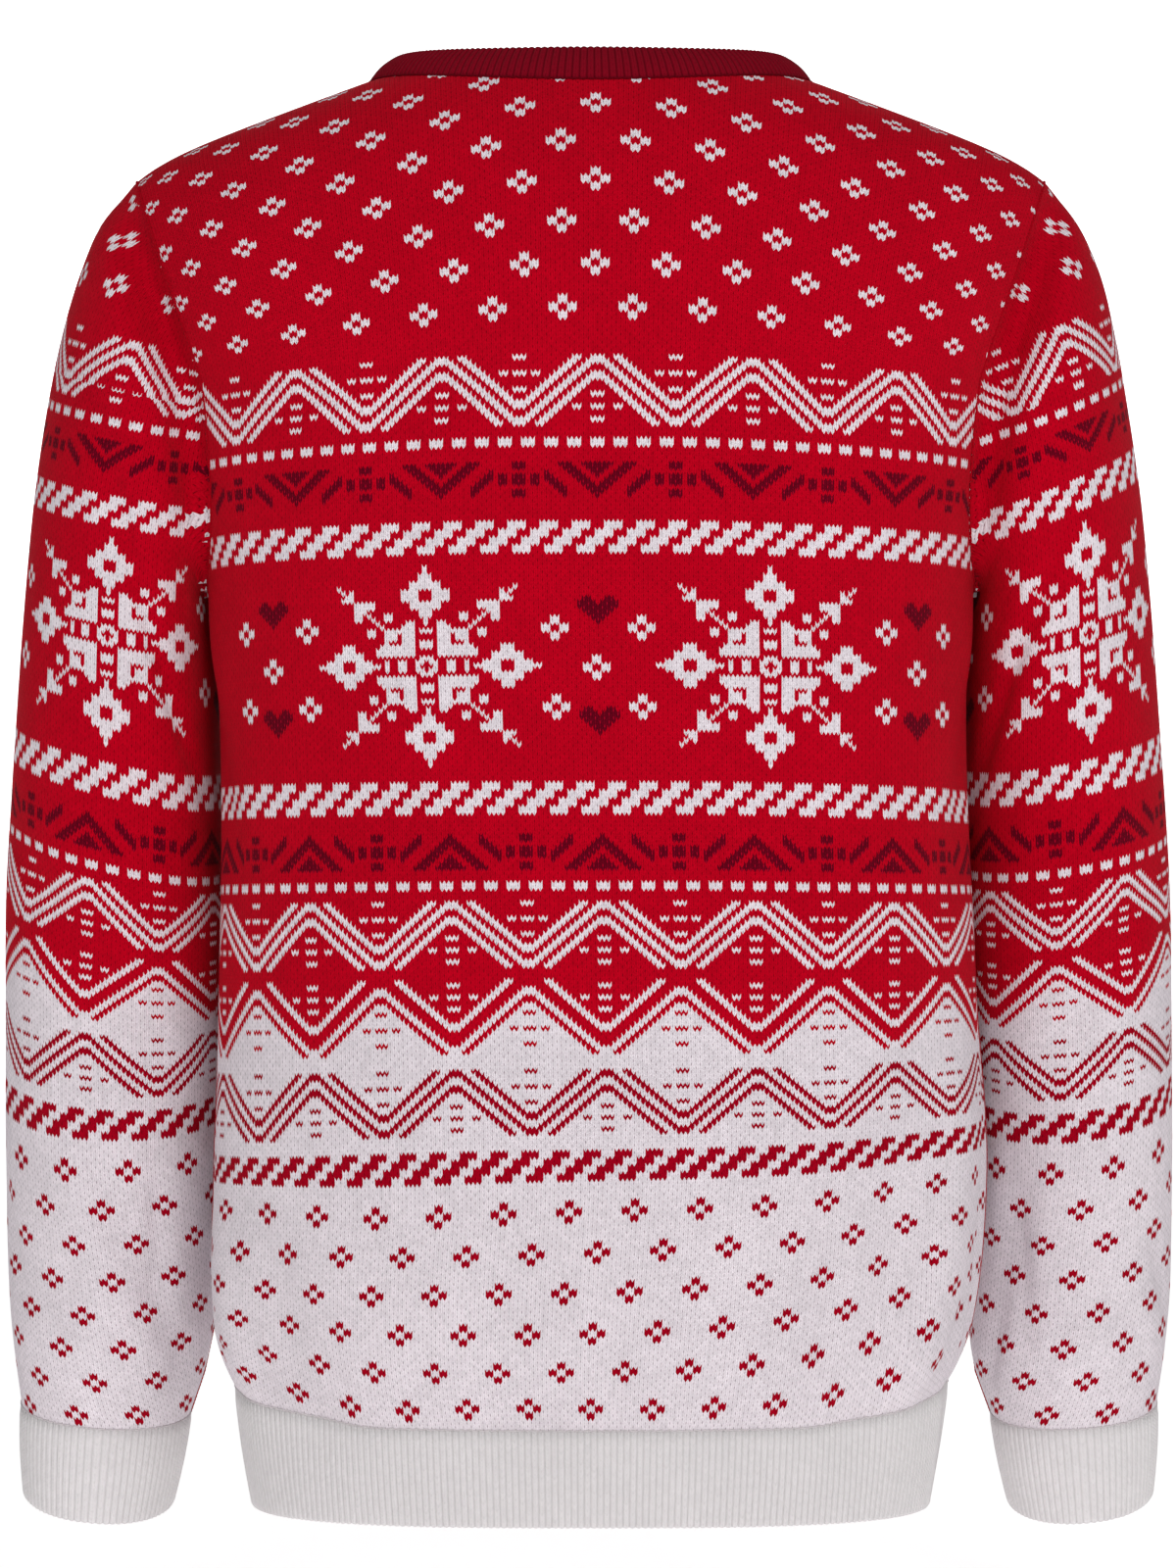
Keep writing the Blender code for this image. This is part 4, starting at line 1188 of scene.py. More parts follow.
@dataclass(eq=False)
class Sleeve:
    """A sleeve: its surface, its courses and the patch of its stitches."""

    arm: Arm
    cap: Array
    away: Array
    stitches: int = 120
    lowest: int = -30
    highest: int = 330
    beyond: float = 0.001
    deeper: float = 0.0036
    deeper_near: float = 0.018
    selvedge: float = 0.0045
    cap_step: int = 8

    # The middle of a snowflake, as a wale, and how many stitches it lies from the outer line
    FLAKE_FROM_OUTER = {Arm.LEFT: (-39.5, 43), Arm.RIGHT: (36.5, 38)}

    def __post_init__(self) -> None:
        """Works out the surface from the armhole at +X."""
        self.surface = SleeveSurface(self.arm, self.cap, self.away)
        middle, count = self.FLAKE_FROM_OUTER[self.arm]
        self.first_wale = round(middle + self.arm * count)

    def course(self, row: float) -> tuple[Array, Array]:
        """Where the plane of a course crosses the surface.

        Args:
            row: the course.

        Returns:
            The ring, as a fraction, at each angle of the surface, and the points there.
        """
        points = self.surface.points
        side = "left" if self.arm is Arm.LEFT else "right"
        height, slope, lean = (
            float(table_column(SLEEVE_COURSES, "row", name, row)) for name in (side, side + "_slope", "lean")
        )
        back = points[:, self.surface.around // 4]
        depth = np.interp(-height, -back[:, 2], back[:, 1])
        above = points[..., 2] - height - slope * (points[..., 0] - REFERENCE_X)
        above -= lean * (points[..., 1] - depth)
        columns, last = np.arange(points.shape[1]), len(points) - 1
        after = np.clip(np.argmax(above <= 0, axis=0), 1, last)
        first, second = above[after - 1, columns], above[after, columns]
        rings = after - 1 + first / (first - second)
        rings = np.where(above[0] <= 0, above[0] / self.beyond, rings)
        rings = np.where(above.min(axis=0) > 0, last + above[-1] / self.beyond, rings)
        return rings, self.surface.read(points, rings, columns)

    def patch(self, step: int) -> Patch:
        """The stitch corners of the outer face, at +X.

        Args:
            step: how many stitches apart they are.

        Returns:
            The patch.
        """
        around, last = self.surface.around, len(self.surface.points) - 1
        counts = np.arange(-self.stitches, self.stitches + 1, step)
        rows = np.arange(self.lowest, self.highest + 1, step)
        turns = np.arange(-(around // 2), around // 2 + 1)
        found: list[tuple[Array, ...]] = []
        for row in rows:
            rings, course = self.course(row)
            pitch = float(table_column(SLEEVE_COURSES, "row", "pitch", row))
            column, length = np.zeros(len(counts)), np.zeros(len(counts))
            limits = np.zeros(len(counts), int)
            for way, limit in ((1, Limit.FIRST_SIDE), (-1, Limit.SECOND_SIDE)):
                order = way * np.arange(around // 2 + 1)
                steps = np.linalg.norm(np.diff(course[order % around], axis=0), axis=1)
                arc = np.append(0, np.cumsum(steps))
                chosen = counts * way >= 0
                wanted = np.abs(counts[chosen]) * pitch
                column[chosen] = np.interp(wanted, arc, order)
                length[chosen] = np.minimum(wanted, arc[-1]) * way
                limits[chosen] |= (wanted > arc[-1]) * limit
            ring = np.interp(column, turns, rings[turns % around])
            limits |= (ring < 0) * Limit.TOP | (ring > last) * Limit.BOTTOM
            ring = np.clip(ring, 0, last)
            down = self.surface.read(self.surface.down[..., None], ring, column)[..., 0]
            limits |= (down < self.selvedge) * Limit.PLAIN
            wales = self.first_wale - self.arm * length / pitch
            found.append((
                self.surface.read(self.surface.points, ring, column),
                unit(self.surface.read(self.surface.normals, ring, column)),
                np.stack([self.first_wale - self.arm * counts, np.full(len(counts), row)], axis=-1),
                np.stack([wales, np.full(len(counts), float(row))], axis=-1),
                limits,
            ))
        return Patch(*(np.array(values) for values in zip(*found)))

    def inner(self, patch: Patch) -> Patch:
        """The inner face of a patch, deeper behind the bend beside the armhole.

        Args:
            patch: the patch of the outer face.

        Returns:
            The inner one.
        """
        cap = self.surface.points[0, :: self.cap_step]
        apart = np.linalg.norm(patch.points[..., None, :] - cap, axis=-1).min(axis=-1)
        deeper = self.deeper * np.exp(-((apart / self.deeper_near) ** 2))
        return patch.inside((CLOTH + deeper)[..., None])


def add_piece(
    name: str, points: Sequence, faces: Sequence, materials: Sequence[bpy.types.Material]
) -> bpy.types.Object:
    """Makes a smooth object of points and faces.

    Args:
        name: its name.
        points: its points.
        faces: its faces, as the numbers of their points.
        materials: its materials.

    Returns:
        The object.
    """
    mesh = bpy.data.meshes.new(name)
    mesh.from_pydata(points, [], faces)
    for material in materials:
        mesh.materials.append(material)
    mesh.shade_smooth()
    piece = bpy.data.objects.new(name, mesh)
    bpy.context.scene.collection.objects.link(piece)
    return piece


@dataclass
class KnitCloth:
    """A closed wall of knitted cloth: a fine outer face, a coarser inner face and the rim between."""

    name: str
    chart: Chart
    outward: bool
    share: float = 0.72
    points: list[tuple[float, float, float]] = field(default_factory=list)
    faces: list[tuple[int, ...]] = field(default_factory=list)
    corners: list[Array] = field(default_factory=list)
    yarns: list[Array] = field(default_factory=list)
    slots: list[int] = field(default_factory=list)

    MERGE = 1e-6
    RIM_STRIP, RIM_STITCHES = 0.02, 400
    FACES_APART = 0.01
    SHARP_ANGLE = 55

    def add_patch(self, patch: Patch, inner: bool) -> list[list[int]]:
        """Adds a face of the cloth.

        Args:
            patch: its stitch corners.
            inner: whether it is the inner face.

        Returns:
            The closed loops of its border, in the direction of its faces.
        """
        rows, columns = patch.limits.shape
        index = np.arange(rows * columns).reshape(rows, columns)
        quads = np.stack([index[:-1, :-1], index[:-1, 1:], index[1:, 1:], index[1:, :-1]], axis=-1)
        quads = quads.reshape(-1, 4)
        beyond = np.bitwise_and.reduce(patch.limits.reshape(-1)[quads], axis=1)
        quads, plain = quads[beyond % Limit.PLAIN == 0], beyond[beyond % Limit.PLAIN == 0] >= Limit.PLAIN
        cells = np.floor(patch.numbers.reshape(-1, 2)[quads].mean(axis=1)).astype(int)
        if self.outward == inner:
            quads = quads[:, ::-1]
        used, local = np.unique(quads, return_inverse=True)
        places = patch.points.reshape(-1, 3)[used]
        keys = np.round(places / self.MERGE).astype(np.int64)
        _, first, merged = np.unique(keys, axis=0, return_index=True, return_inverse=True)
        shown = merged.reshape(-1)[local.reshape(-1)].reshape(-1, 4) + len(self.points)
        self.points.extend(map(tuple, places[first].tolist()))
        stitches = patch.stitches.reshape(-1, 2)
        low, high = stitches[used].min(axis=0), stitches[used].max(axis=0)
        start, wide = 0.0, self.share
        if inner:
            start, wide = self.share + self.FACES_APART, 1 - self.FACES_APART - self.share
        flat = (stitches - low) / (high - low) * [wide, 1 - 2 * self.RIM_STRIP] + [start, 2 * self.RIM_STRIP]
        both = np.concatenate([stitches, flat], axis=1)
        codes = np.stack([self.chart.read(cells[:, 0], cells[:, 1] + up) for up in (0, 1, -1)], axis=-1)
        codes[plain] = Yarn.RED
        added = []
        for corners, ids, code in zip(quads, shown.tolist(), codes):
            chosen = [k for k in range(4) if ids[k] != ids[k - 1]]
            if len(chosen) < 3 or len({ids[k] for k in chosen}) < len(chosen):
                continue
            added.append(tuple(ids[k] for k in chosen))
            self.corners.append(both[corners[chosen]])
            self.yarns.append(code)
        self.faces += added
        self.slots += [int(inner)] * len(added)
        return self.border(added)

    @staticmethod
    def border(faces: Sequence[tuple[int, ...]]) -> list[list[int]]:
        """The closed loops of edges that belong to one face only.

        Args:
            faces: the faces.

        Returns:
            The loops, as the numbers of their points.
        """
        edges = {(a, b) for face in faces for a, b in zip(face, face[1:] + face[:1])}
        after = {a: b for a, b in edges if (b, a) not in edges}
        loops = []
        while after:
            start = min(after)
            loop, place = [start], after.pop(start)
            while place != start:
                loop.append(place)
                place = after.pop(place)
            loops.append(loop)
        return loops

    def add_rim(self, outer: Sequence[int], inner: Sequence[int]) -> None:
        """Joins two border loops with triangles, always across the shorter way.

        Args:
            outer: the loop of the outer face.
            inner: the loop of the inner face.
        """
        places = np.array(self.points)
        back = list(inner)[::-1]
        nearest = int(np.argmin(np.linalg.norm(places[back] - places[outer[0]], axis=1)))
        back = back[nearest:] + back[: nearest + 1]
        front = [*outer, outer[0]]
        i = j = 0
        while i < len(front) - 1 or j < len(back) - 1:
            to_outer = to_inner = math.inf
            if i < len(front) - 1:
                to_outer = np.linalg.norm(places[front[i + 1]] - places[back[j]])
            if j < len(back) - 1:
                to_inner = np.linalg.norm(places[back[j + 1]] - places[front[i]])
            here, there = (i / len(front), 0.0), (j / len(back), 1.0)
            if to_outer <= to_inner:
                self.faces.append((front[i + 1], front[i], back[j]))
                spots = ((i + 1) / len(front), 0.0), here, there
                i += 1
            else:
                self.faces.append((back[j], back[j + 1], front[i]))
                spots = there, ((j + 1) / len(back), 1.0), here
                j += 1
            flat = [(x * self.RIM_STITCHES, y, x, y * self.RIM_STRIP) for x, y in spots]
            self.corners.append(np.array(flat))
            self.yarns.append(np.zeros(3))
            self.slots.append(1)

    def build(self, outer: Patch, inner: Patch, materials: Sequence[bpy.types.Material]) -> bpy.types.Object:
        """Makes the object from its two faces.

        Args:
            outer: the outer face.
            inner: the inner face.
            materials: the right side and the wrong side of the cloth.

        Returns:
            The object.
        """
        first, second = self.add_patch(outer, False), self.add_patch(inner, True)
        places = np.array(self.points)
        middles = np.array([places[loop].mean(axis=0) for loop in second])
        for loop in first:
            apart = np.linalg.norm(middles - places[loop].mean(axis=0), axis=1)
            self.add_rim(loop, second[int(np.argmin(apart))])
        piece = add_piece(self.name, self.points, self.faces, materials)
        mesh = piece.data
        flat = np.concatenate(self.corners).astype(np.float32)
        for name, columns in (("stitch", flat[:, :2]), ("OFBake", flat[:, 2:])):
            mesh.uv_layers.new(name=name).data.foreach_set("uv", columns.ravel())
        yarn = mesh.attributes.new("yarn", "FLOAT_VECTOR", "FACE")
        yarn.data.foreach_set("vector", np.array(self.yarns, np.float32).ravel())
        mesh.polygons.foreach_set("material_index", self.slots)
        mesh.set_sharp_from_angle(angle=math.radians(self.SHARP_ANGLE))
        mesh.update()
        LOG.info("%s: %d faces, %d and %d borders", self.name, len(self.faces), len(first), len(second))
        return piece


class Graph:
    """Adds nodes to a tree and links them."""

    def __init__(self, tree: bpy.types.NodeTree) -> None:
        """Keeps the tree."""
        self.tree = tree

    def add(self, kind: str, inputs: dict | None = None, **settings: object) -> bpy.types.Node:
        """Adds a node.

        Args:
            kind: its type.
            inputs: a socket or a value for each of its inputs that has one.
            settings: its properties.

        Returns:
            The node.
        """
        node = self.tree.nodes.new(kind)
        for name, value in settings.items():
            setattr(node, name, value)
        for key, value in (inputs or {}).items():
            if isinstance(value, bpy.types.NodeSocket):
                self.tree.links.new(value, node.inputs[key])
            else:
                node.inputs[key].default_value = value
        return node

    def math(self, operation: str, *values: object) -> bpy.types.NodeSocket:
        """The result of a sum on sockets and numbers."""
        return self.add("ShaderNodeMath", dict(enumerate(values)), operation=operation).outputs[0]

    def mix(self, share: object, first: object, second: object) -> bpy.types.NodeSocket:
        """A mix of two colours."""
        return self.add("ShaderNodeMix", {0: share, 6: first, 7: second}, data_type="RGBA").outputs[2]

    def off_middle(self, share: object) -> bpy.types.NodeSocket:
        """How far a share of 0 to 1 lies from its middle: 1 at both ends."""
        return self.math("ABSOLUTE", self.math("MULTIPLY_ADD", share, 2.0, -1.0))

    def scaled(self, vector: object, scale: object) -> bpy.types.NodeSocket:
        """A vector or a colour at another size."""
        return self.add("ShaderNodeVectorMath", {0: vector, "Scale": scale}, operation="SCALE").outputs[0]

    def stitch_place(self) -> bpy.types.Node:
        """The place on the knit, in wales and rows."""
        return self.add("ShaderNodeSeparateXYZ", {0: self.add("ShaderNodeUVMap", uv_map="stitch").outputs[0]})

    def equals(self, value: object, wanted: float, apart: float = 0.3) -> bpy.types.NodeSocket:
        """1 where a value is the wanted one, or close to it."""
        return self.math("COMPARE", value, wanted, apart)


def new_group(name: str, kind: str, inputs: dict[str, str], outputs: dict[str, str]) -> bpy.types.NodeTree:
    """A node group with named sockets, and a node for its inputs and one for its outputs.

    Args:
        name: its name.
        kind: the type of its tree.
        inputs: the names and types of its inputs.
        outputs: the names and types of its outputs.

    Returns:
        The group.
    """
    tree = bpy.data.node_groups.new(name, kind)
    for direction, sockets in (("INPUT", inputs), ("OUTPUT", outputs)):
        for socket, socket_type in sockets.items():
            tree.interface.new_socket(name=socket, in_out=direction, socket_type=socket_type)
    tree.nodes.new("NodeGroupInput")
    tree.nodes.new("NodeGroupOutput")
    return tree


LEG_ROUNDING, END_ROUNDING, END_LOWER = 2.4, 3.0, 0.75
EYE_ROUNDING, EYE_CLOSES, GAP_ROUNDING = 1.6, 0.92, 2.2
GAP_LESS_STAGGERED, GAP_LESS_BESIDE = 1.4, 0.85


def stitch_group() -> bpy.types.NodeTree:
    """The form of plain knit: two legs in a V for each stitch, with its tip down.

    Its outputs are the height of the yarn, the gap between legs, how many rows the yarn is from the
    stitch that the place lies in, and an even random number for each stitch.

    Returns:
        The group, which is made once.
    """
    name = "knit_stitch"
    if name in bpy.data.node_groups:
        return bpy.data.node_groups[name]
    floats = "NodeSocketFloat"
    tree = new_group(name, "ShaderNodeTree", {"Lean": floats},
                     {"Height": floats, "Gap": floats, "Rows": floats, "Chance": floats})
    graph = Graph(tree)
    given, result = tree.nodes["Group Input"], tree.nodes["Group Output"]
    wale, row = graph.stitch_place().outputs[:2]
    column = graph.math("FLOOR", wale)
    out = graph.off_middle(graph.math("FRACT", wale))
    leaning = graph.math("MULTIPLY", graph.math("SUBTRACT", out, 0.5), given.outputs["Lean"])
    slanted = graph.math("SUBTRACT", row, leaning)
    whole = graph.math("FLOOR", slanted)
    across = graph.off_middle(out)
    round_leg = graph.math("SUBTRACT", 1.0, graph.math("POWER", across, LEG_ROUNDING))
    along = graph.off_middle(graph.math("FRACT", slanted))
    lower = graph.math("MULTIPLY", graph.math("POWER", along, END_ROUNDING), END_LOWER)
    height = graph.math("MULTIPLY", round_leg, graph.math("SUBTRACT", 1.0, lower))
    # The gaps between legs, which the materials fill with painted shade, and in the jacquard also with the
    # yarn floating behind
    eye = graph.math("MULTIPLY_ADD", graph.math("POWER", along, EYE_ROUNDING), -EYE_CLOSES, 1.0)
    beside = graph.math("MULTIPLY", graph.math("POWER", across, GAP_ROUNDING), eye)
    staggered = graph.math("FRACT", graph.math("MULTIPLY", graph.math("ADD", column, whole), 0.5))
    beside = graph.math("MULTIPLY", beside, graph.math("MULTIPLY_ADD", staggered, -GAP_LESS_STAGGERED, 1.0))
    gap = graph.math("MULTIPLY", beside, graph.math("MULTIPLY_ADD", out, -GAP_LESS_BESIDE, 1.0))
    cell = graph.add("ShaderNodeCombineXYZ", {0: column, 1: whole})
    chance = graph.add("ShaderNodeTexWhiteNoise", {0: cell.outputs[0]}, noise_dimensions="2D")
    for socket, value in (("Height", height), ("Gap", gap), ("Chance", chance.outputs[0]),
                          ("Rows", graph.math("SUBTRACT", whole, graph.math("FLOOR", row)))):
        tree.links.new(value, result.inputs[socket])
    return tree


Colour = tuple[float, float, float, float]


def linear(red: int, green: int, blue: int) -> Colour:
    """A colour of 0 to 255 in linear light.

    Args:
        red: its red.
        green: its green.
        blue: its blue.

    Returns:
        The colour.
    """
    values = red, green, blue
    parts = (((value / 255 + 0.055) / 1.055) ** 2.4 if value > 10 else value / 3294.6 for value in values)
    return (*parts, 1)


@dataclass(frozen=True)
class YarnFinish:
    """What all the knit has in common: soft, rough yarn."""

    roughness: float = 0.85
    sheen: float = 0.015
    sheen_roughness: float = 0.45
    specular: float = 0.02
    lean: float = 0.9
    chance: float = 0.16
    mottle: float = 0.10
    patches: float = 26.0
    patch_detail: float = 3.0
    bump: float = 0.5
    yarn: float = 0.0009

    def start(self, name: str) -> tuple[bpy.types.Material, Graph, bpy.types.Node]:
        """A material with its graph and its shader.

        Args:
            name: the name of the material.

        Returns:
            The material, the graph and the shader.
        """
        material = bpy.data.materials.new(name)
        material.use_nodes = True
        graph = Graph(material.node_tree)
        shader = material.node_tree.nodes["Principled BSDF"]
        values = {"Roughness": self.roughness, "Sheen Weight": self.sheen,
                  "Sheen Roughness": self.sheen_roughness, "Specular IOR Level": self.specular}
        for socket, value in values.items():
            shader.inputs[socket].default_value = value
        return material, graph, shader

    def finish(self, graph: Graph, shader: bpy.types.Node, stitch: bpy.types.Node, colour: object) -> None:
        """Gives the shader its colour, uneven from stitch to stitch, and the relief of the stitches.

        Args:
            graph: the graph of the material.
            shader: its shader.
            stitch: the node of the stitches.
            colour: the colour, as a socket.
        """
        place = graph.add("ShaderNodeTexCoord").outputs["Object"]
        sizes = {"Vector": place, "Scale": self.patches, "Detail": self.patch_detail}
        noise = graph.add("ShaderNodeTexNoise", sizes)
        uneven = graph.math("MULTIPLY_ADD", stitch.outputs["Chance"], self.chance, 1 - self.chance / 2)
        patchy = graph.math("MULTIPLY_ADD", noise.outputs[0], self.mottle * 2, 1 - self.mottle)
        shade = graph.math("MULTIPLY", uneven, patchy)
        graph.tree.links.new(graph.scaled(colour, shade), shader.inputs["Base Color"])
        bump = graph.add("ShaderNodeBump", {
            "Height": stitch.outputs["Height"], "Strength": self.bump, "Distance": self.yarn})
        graph.tree.links.new(bump.outputs[0], shader.inputs["Normal"])


@dataclass(frozen=True)
class JacquardFinish(YarnFinish):
    """Jacquard in three yarns, with painted shade in the gaps between stitch legs and on the red of the lower
    rows.
    """

    red: Colour = linear(189, 0, 28)
    # The red darkened as painted shade, for the lower rows
    deep: Colour = linear(164, 0, 27)
    white: Colour = linear(233, 224, 230)
    wine: Colour = linear(88, 2, 22)
    # Gap colours: painted shade in the red, the red float behind darkened with painted shade in the white,
    # and the red float behind in the wine
    red_gap_shade: Colour = linear(34, 0, 4)
    white_gap_float_and_shade: Colour = linear(92, 50, 72)
    wine_gap: Colour = linear(225, 10, 50)
    gap: float = 1.0

    def face(self) -> bpy.types.Material:
        """The right side of the cloth.

        Returns:
            The material.
        """
        material, graph, shader = self.start("jacquard_face")
        stitch = graph.add("ShaderNodeGroup", {"Lean": self.lean}, node_tree=stitch_group())
        yarns = graph.add("ShaderNodeSeparateXYZ", {
            0: graph.add("ShaderNodeAttribute", attribute_name="yarn").outputs["Vector"]})
        above = graph.equals(stitch.outputs["Rows"], 1.0)
        below = graph.equals(stitch.outputs["Rows"], -1.0)
        own = graph.math("SUBTRACT", graph.math("SUBTRACT", 1.0, above), below)
        code = graph.math("MULTIPLY_ADD", yarns.outputs[0], own, graph.math(
            "MULTIPLY_ADD", yarns.outputs[1], above, graph.math("MULTIPLY", yarns.outputs[2], below)))
        colour, gap = self.red, self.red_gap_shade
        for yarn, front, behind in (
            (Yarn.WHITE, self.white, self.white_gap_float_and_shade),
            (Yarn.WINE, self.wine, self.wine_gap),
            # The red with painted shade of the lower rows, with painted shade in its gaps
            (Yarn.DEEP, self.deep, self.red_gap_shade),
        ):
            chosen = graph.equals(code, yarn)
            colour, gap = graph.mix(chosen, colour, front), graph.mix(chosen, gap, behind)
        # The gaps between legs take their colours: painted shade, and the floats behind
        shown = graph.mix(graph.math("MULTIPLY", stitch.outputs["Gap"], self.gap), colour, gap)
        self.finish(graph, shader, stitch, shown)
        return material

    def reverse(self) -> bpy.types.Material:
        """The wrong side, where the yarns change from stitch to stitch.

        Returns:
            The material.
        """
        material, graph, shader = self.start("jacquard_reverse")
        stitch = graph.add("ShaderNodeGroup", {"Lean": 0.0}, node_tree=stitch_group())
        checks = graph.add("ShaderNodeTexChecker", {
            "Vector": graph.add("ShaderNodeUVMap", uv_map="stitch").outputs[0], "Scale": 1.0})
        shown = graph.mix(checks.outputs[1], self.red, self.white)
        # Painted shade in the gaps between legs
        gap = graph.math("MULTIPLY", stitch.outputs["Gap"], self.gap)
        self.finish(graph, shader, stitch, graph.mix(gap, shown, self.red_gap_shade))
        return material


@dataclass(frozen=True)
class RibFinish(YarnFinish):
    """Plain yarn in a rib, with painted shade in its grooves and between stitch legs, a little darker than
    its ridges.
    """

    name: str = "rib"
    yarn_colour: Colour = linear(226, 222, 223)
    # Painted shade in the grooves and the gaps between legs
    groove_shade: Colour = linear(206, 202, 202)
    gap: float = 0.5
    groove_rounding: float = 5.0
    groove_share: float = 0.85
    chance: float = 0.05
    mottle: float = 0.04

    def material(self) -> bpy.types.Material:
        """The finish as a material.

        Returns:
            The material.
        """
        material, graph, shader = self.start(self.name)
        stitch = graph.add("ShaderNodeGroup", {"Lean": self.lean}, node_tree=stitch_group())
        out = graph.off_middle(graph.math("FRACT", graph.stitch_place().outputs[0]))
        groove_shade = graph.math("MULTIPLY", graph.math("POWER", out, self.groove_rounding), self.groove_share)
        # Painted shade in the grooves and in the gaps between legs
        dark = graph.math("MAXIMUM", groove_shade, graph.math("MULTIPLY", stitch.outputs["Gap"], self.gap))
        self.finish(graph, shader, stitch, graph.mix(dark, self.yarn_colour, self.groove_shade))
        return material


@dataclass(frozen=True)
class ThreadFinish(YarnFinish):
    """The yarn of a linked seam."""

    name: str = "thread"
    colour: Colour = linear(150, 2, 20)

    def material(self) -> bpy.types.Material:
        """The finish as a material.

        Returns:
            The material.
        """
        material, _, shader = self.start(self.name)
        shader.inputs["Base Color"].default_value = self.colour
        return material


def geometry_tree(name: str, sizes: Sequence[str]) -> tuple[Graph, bpy.types.Node]:
    """The graph of a group of geometry nodes that takes sizes and a material, and the node of its inputs.

    Args:
        name: the name of the group.
        sizes: the names of the sizes.

    Returns:
        The graph and the node.
    """
    shape = {"Geometry": "NodeSocketGeometry"}
    inputs = shape | dict.fromkeys(sizes, "NodeSocketFloat") | {"Material": "NodeSocketMaterial"}
    tree = new_group(name, "GeometryNodeTree", inputs, shape)
    return Graph(tree), tree.nodes["Group Input"]


def end_tree(graph: Graph, shape: bpy.types.Node) -> bpy.types.NodeTree:
    """Ends a group of geometry nodes: its shape becomes real geometry in the given material.

    Args:
        graph: the graph of the group.
        shape: the node that makes the shape.

    Returns:
        The group.
    """
    tree = graph.tree
    material = tree.nodes["Group Input"].outputs["Material"]
    real = graph.add("GeometryNodeRealizeInstances", {0: shape.outputs[0]})
    shown = graph.add("GeometryNodeSetMaterial", {"Geometry": real.outputs[0], "Material": material})
    tree.links.new(shown.outputs[0], tree.nodes["Group Output"].inputs["Geometry"])
    return tree


def raised_ribs_tree(rounding: float = 0.8) -> bpy.types.NodeTree:
    """Geometry nodes that raise ribs along the normals of a band.

    Args:
        rounding: 1 for a round rib, and less for a blunter one.

    Returns:
        The group.
    """
    graph, given = geometry_tree("raised_ribs", ["Rise"])
    phase, weight = (
        graph.add("GeometryNodeInputNamedAttribute", {0: name}, data_type="FLOAT").outputs[0]
        for name in ("rib_phase", "rib_weight")
    )
    wave = graph.math("ABSOLUTE", graph.math("SINE", graph.math("MULTIPLY", phase, math.pi)))
    share = graph.math("MULTIPLY", graph.math("POWER", wave, rounding), weight)
    rise = graph.math("MULTIPLY", share, given.outputs["Rise"])
    offset = graph.scaled(graph.add("GeometryNodeInputNormal").outputs[0], rise)
    shape = {"Geometry": given.outputs["Geometry"], "Offset": offset}
    return end_tree(graph, graph.add("GeometryNodeSetPosition", shape))


def linked_loops_tree() -> bpy.types.NodeTree:
    """Geometry nodes that lay a loop of yarn on every point of a path, turned the way it runs.

    Returns:
        The group.
    """
    graph, given = geometry_tree("linked_loops", ["Length", "Width"])
    ball = graph.add("GeometryNodeMeshUVSphere", {"Segments": 6, "Rings": 4, "Radius": 0.5})
    length, width = given.outputs["Length"], given.outputs["Width"]
    size = graph.add("ShaderNodeCombineXYZ", {0: length, 1: width, 2: width})
    loop = graph.add("GeometryNodeTransform", {"Geometry": ball.outputs[0], "Scale": size.outputs[0]})
    turn = graph.add("GeometryNodeInputNamedAttribute", {0: "turn"}, data_type="FLOAT_VECTOR").outputs[0]
    rotation = graph.add("FunctionNodeEulerToRotation", {0: turn}).outputs[0]
    return end_tree(graph, graph.add("GeometryNodeInstanceOnPoints", {
        "Points": given.outputs["Geometry"], "Instance": loop.outputs[0], "Rotation": rotation}))


def run_nodes(piece: bpy.types.Object, tree: bpy.types.NodeTree, values: dict) -> bpy.types.Object:
    """Runs geometry nodes on a piece and keeps what they make as its plain mesh.

    Args:
        piece: the piece.
        tree: the group of nodes.
        values: values for its inputs, by their names.

    Returns:
        The same piece.
    """
    modifier = piece.modifiers.new(tree.name, "NODES")
    modifier.node_group = tree
    for item in tree.interface.items_tree:
        if item.in_out == "INPUT" and item.name in values:
            modifier[item.identifier] = values[item.name]
    graph = bpy.context.evaluated_depsgraph_get()
    made = bpy.data.meshes.new_from_object(
        piece.evaluated_get(graph), preserve_all_data_layers=True, depsgraph=graph
    )
    piece.modifiers.remove(modifier)
    piece.data = made
    made.name = piece.name
    return piece


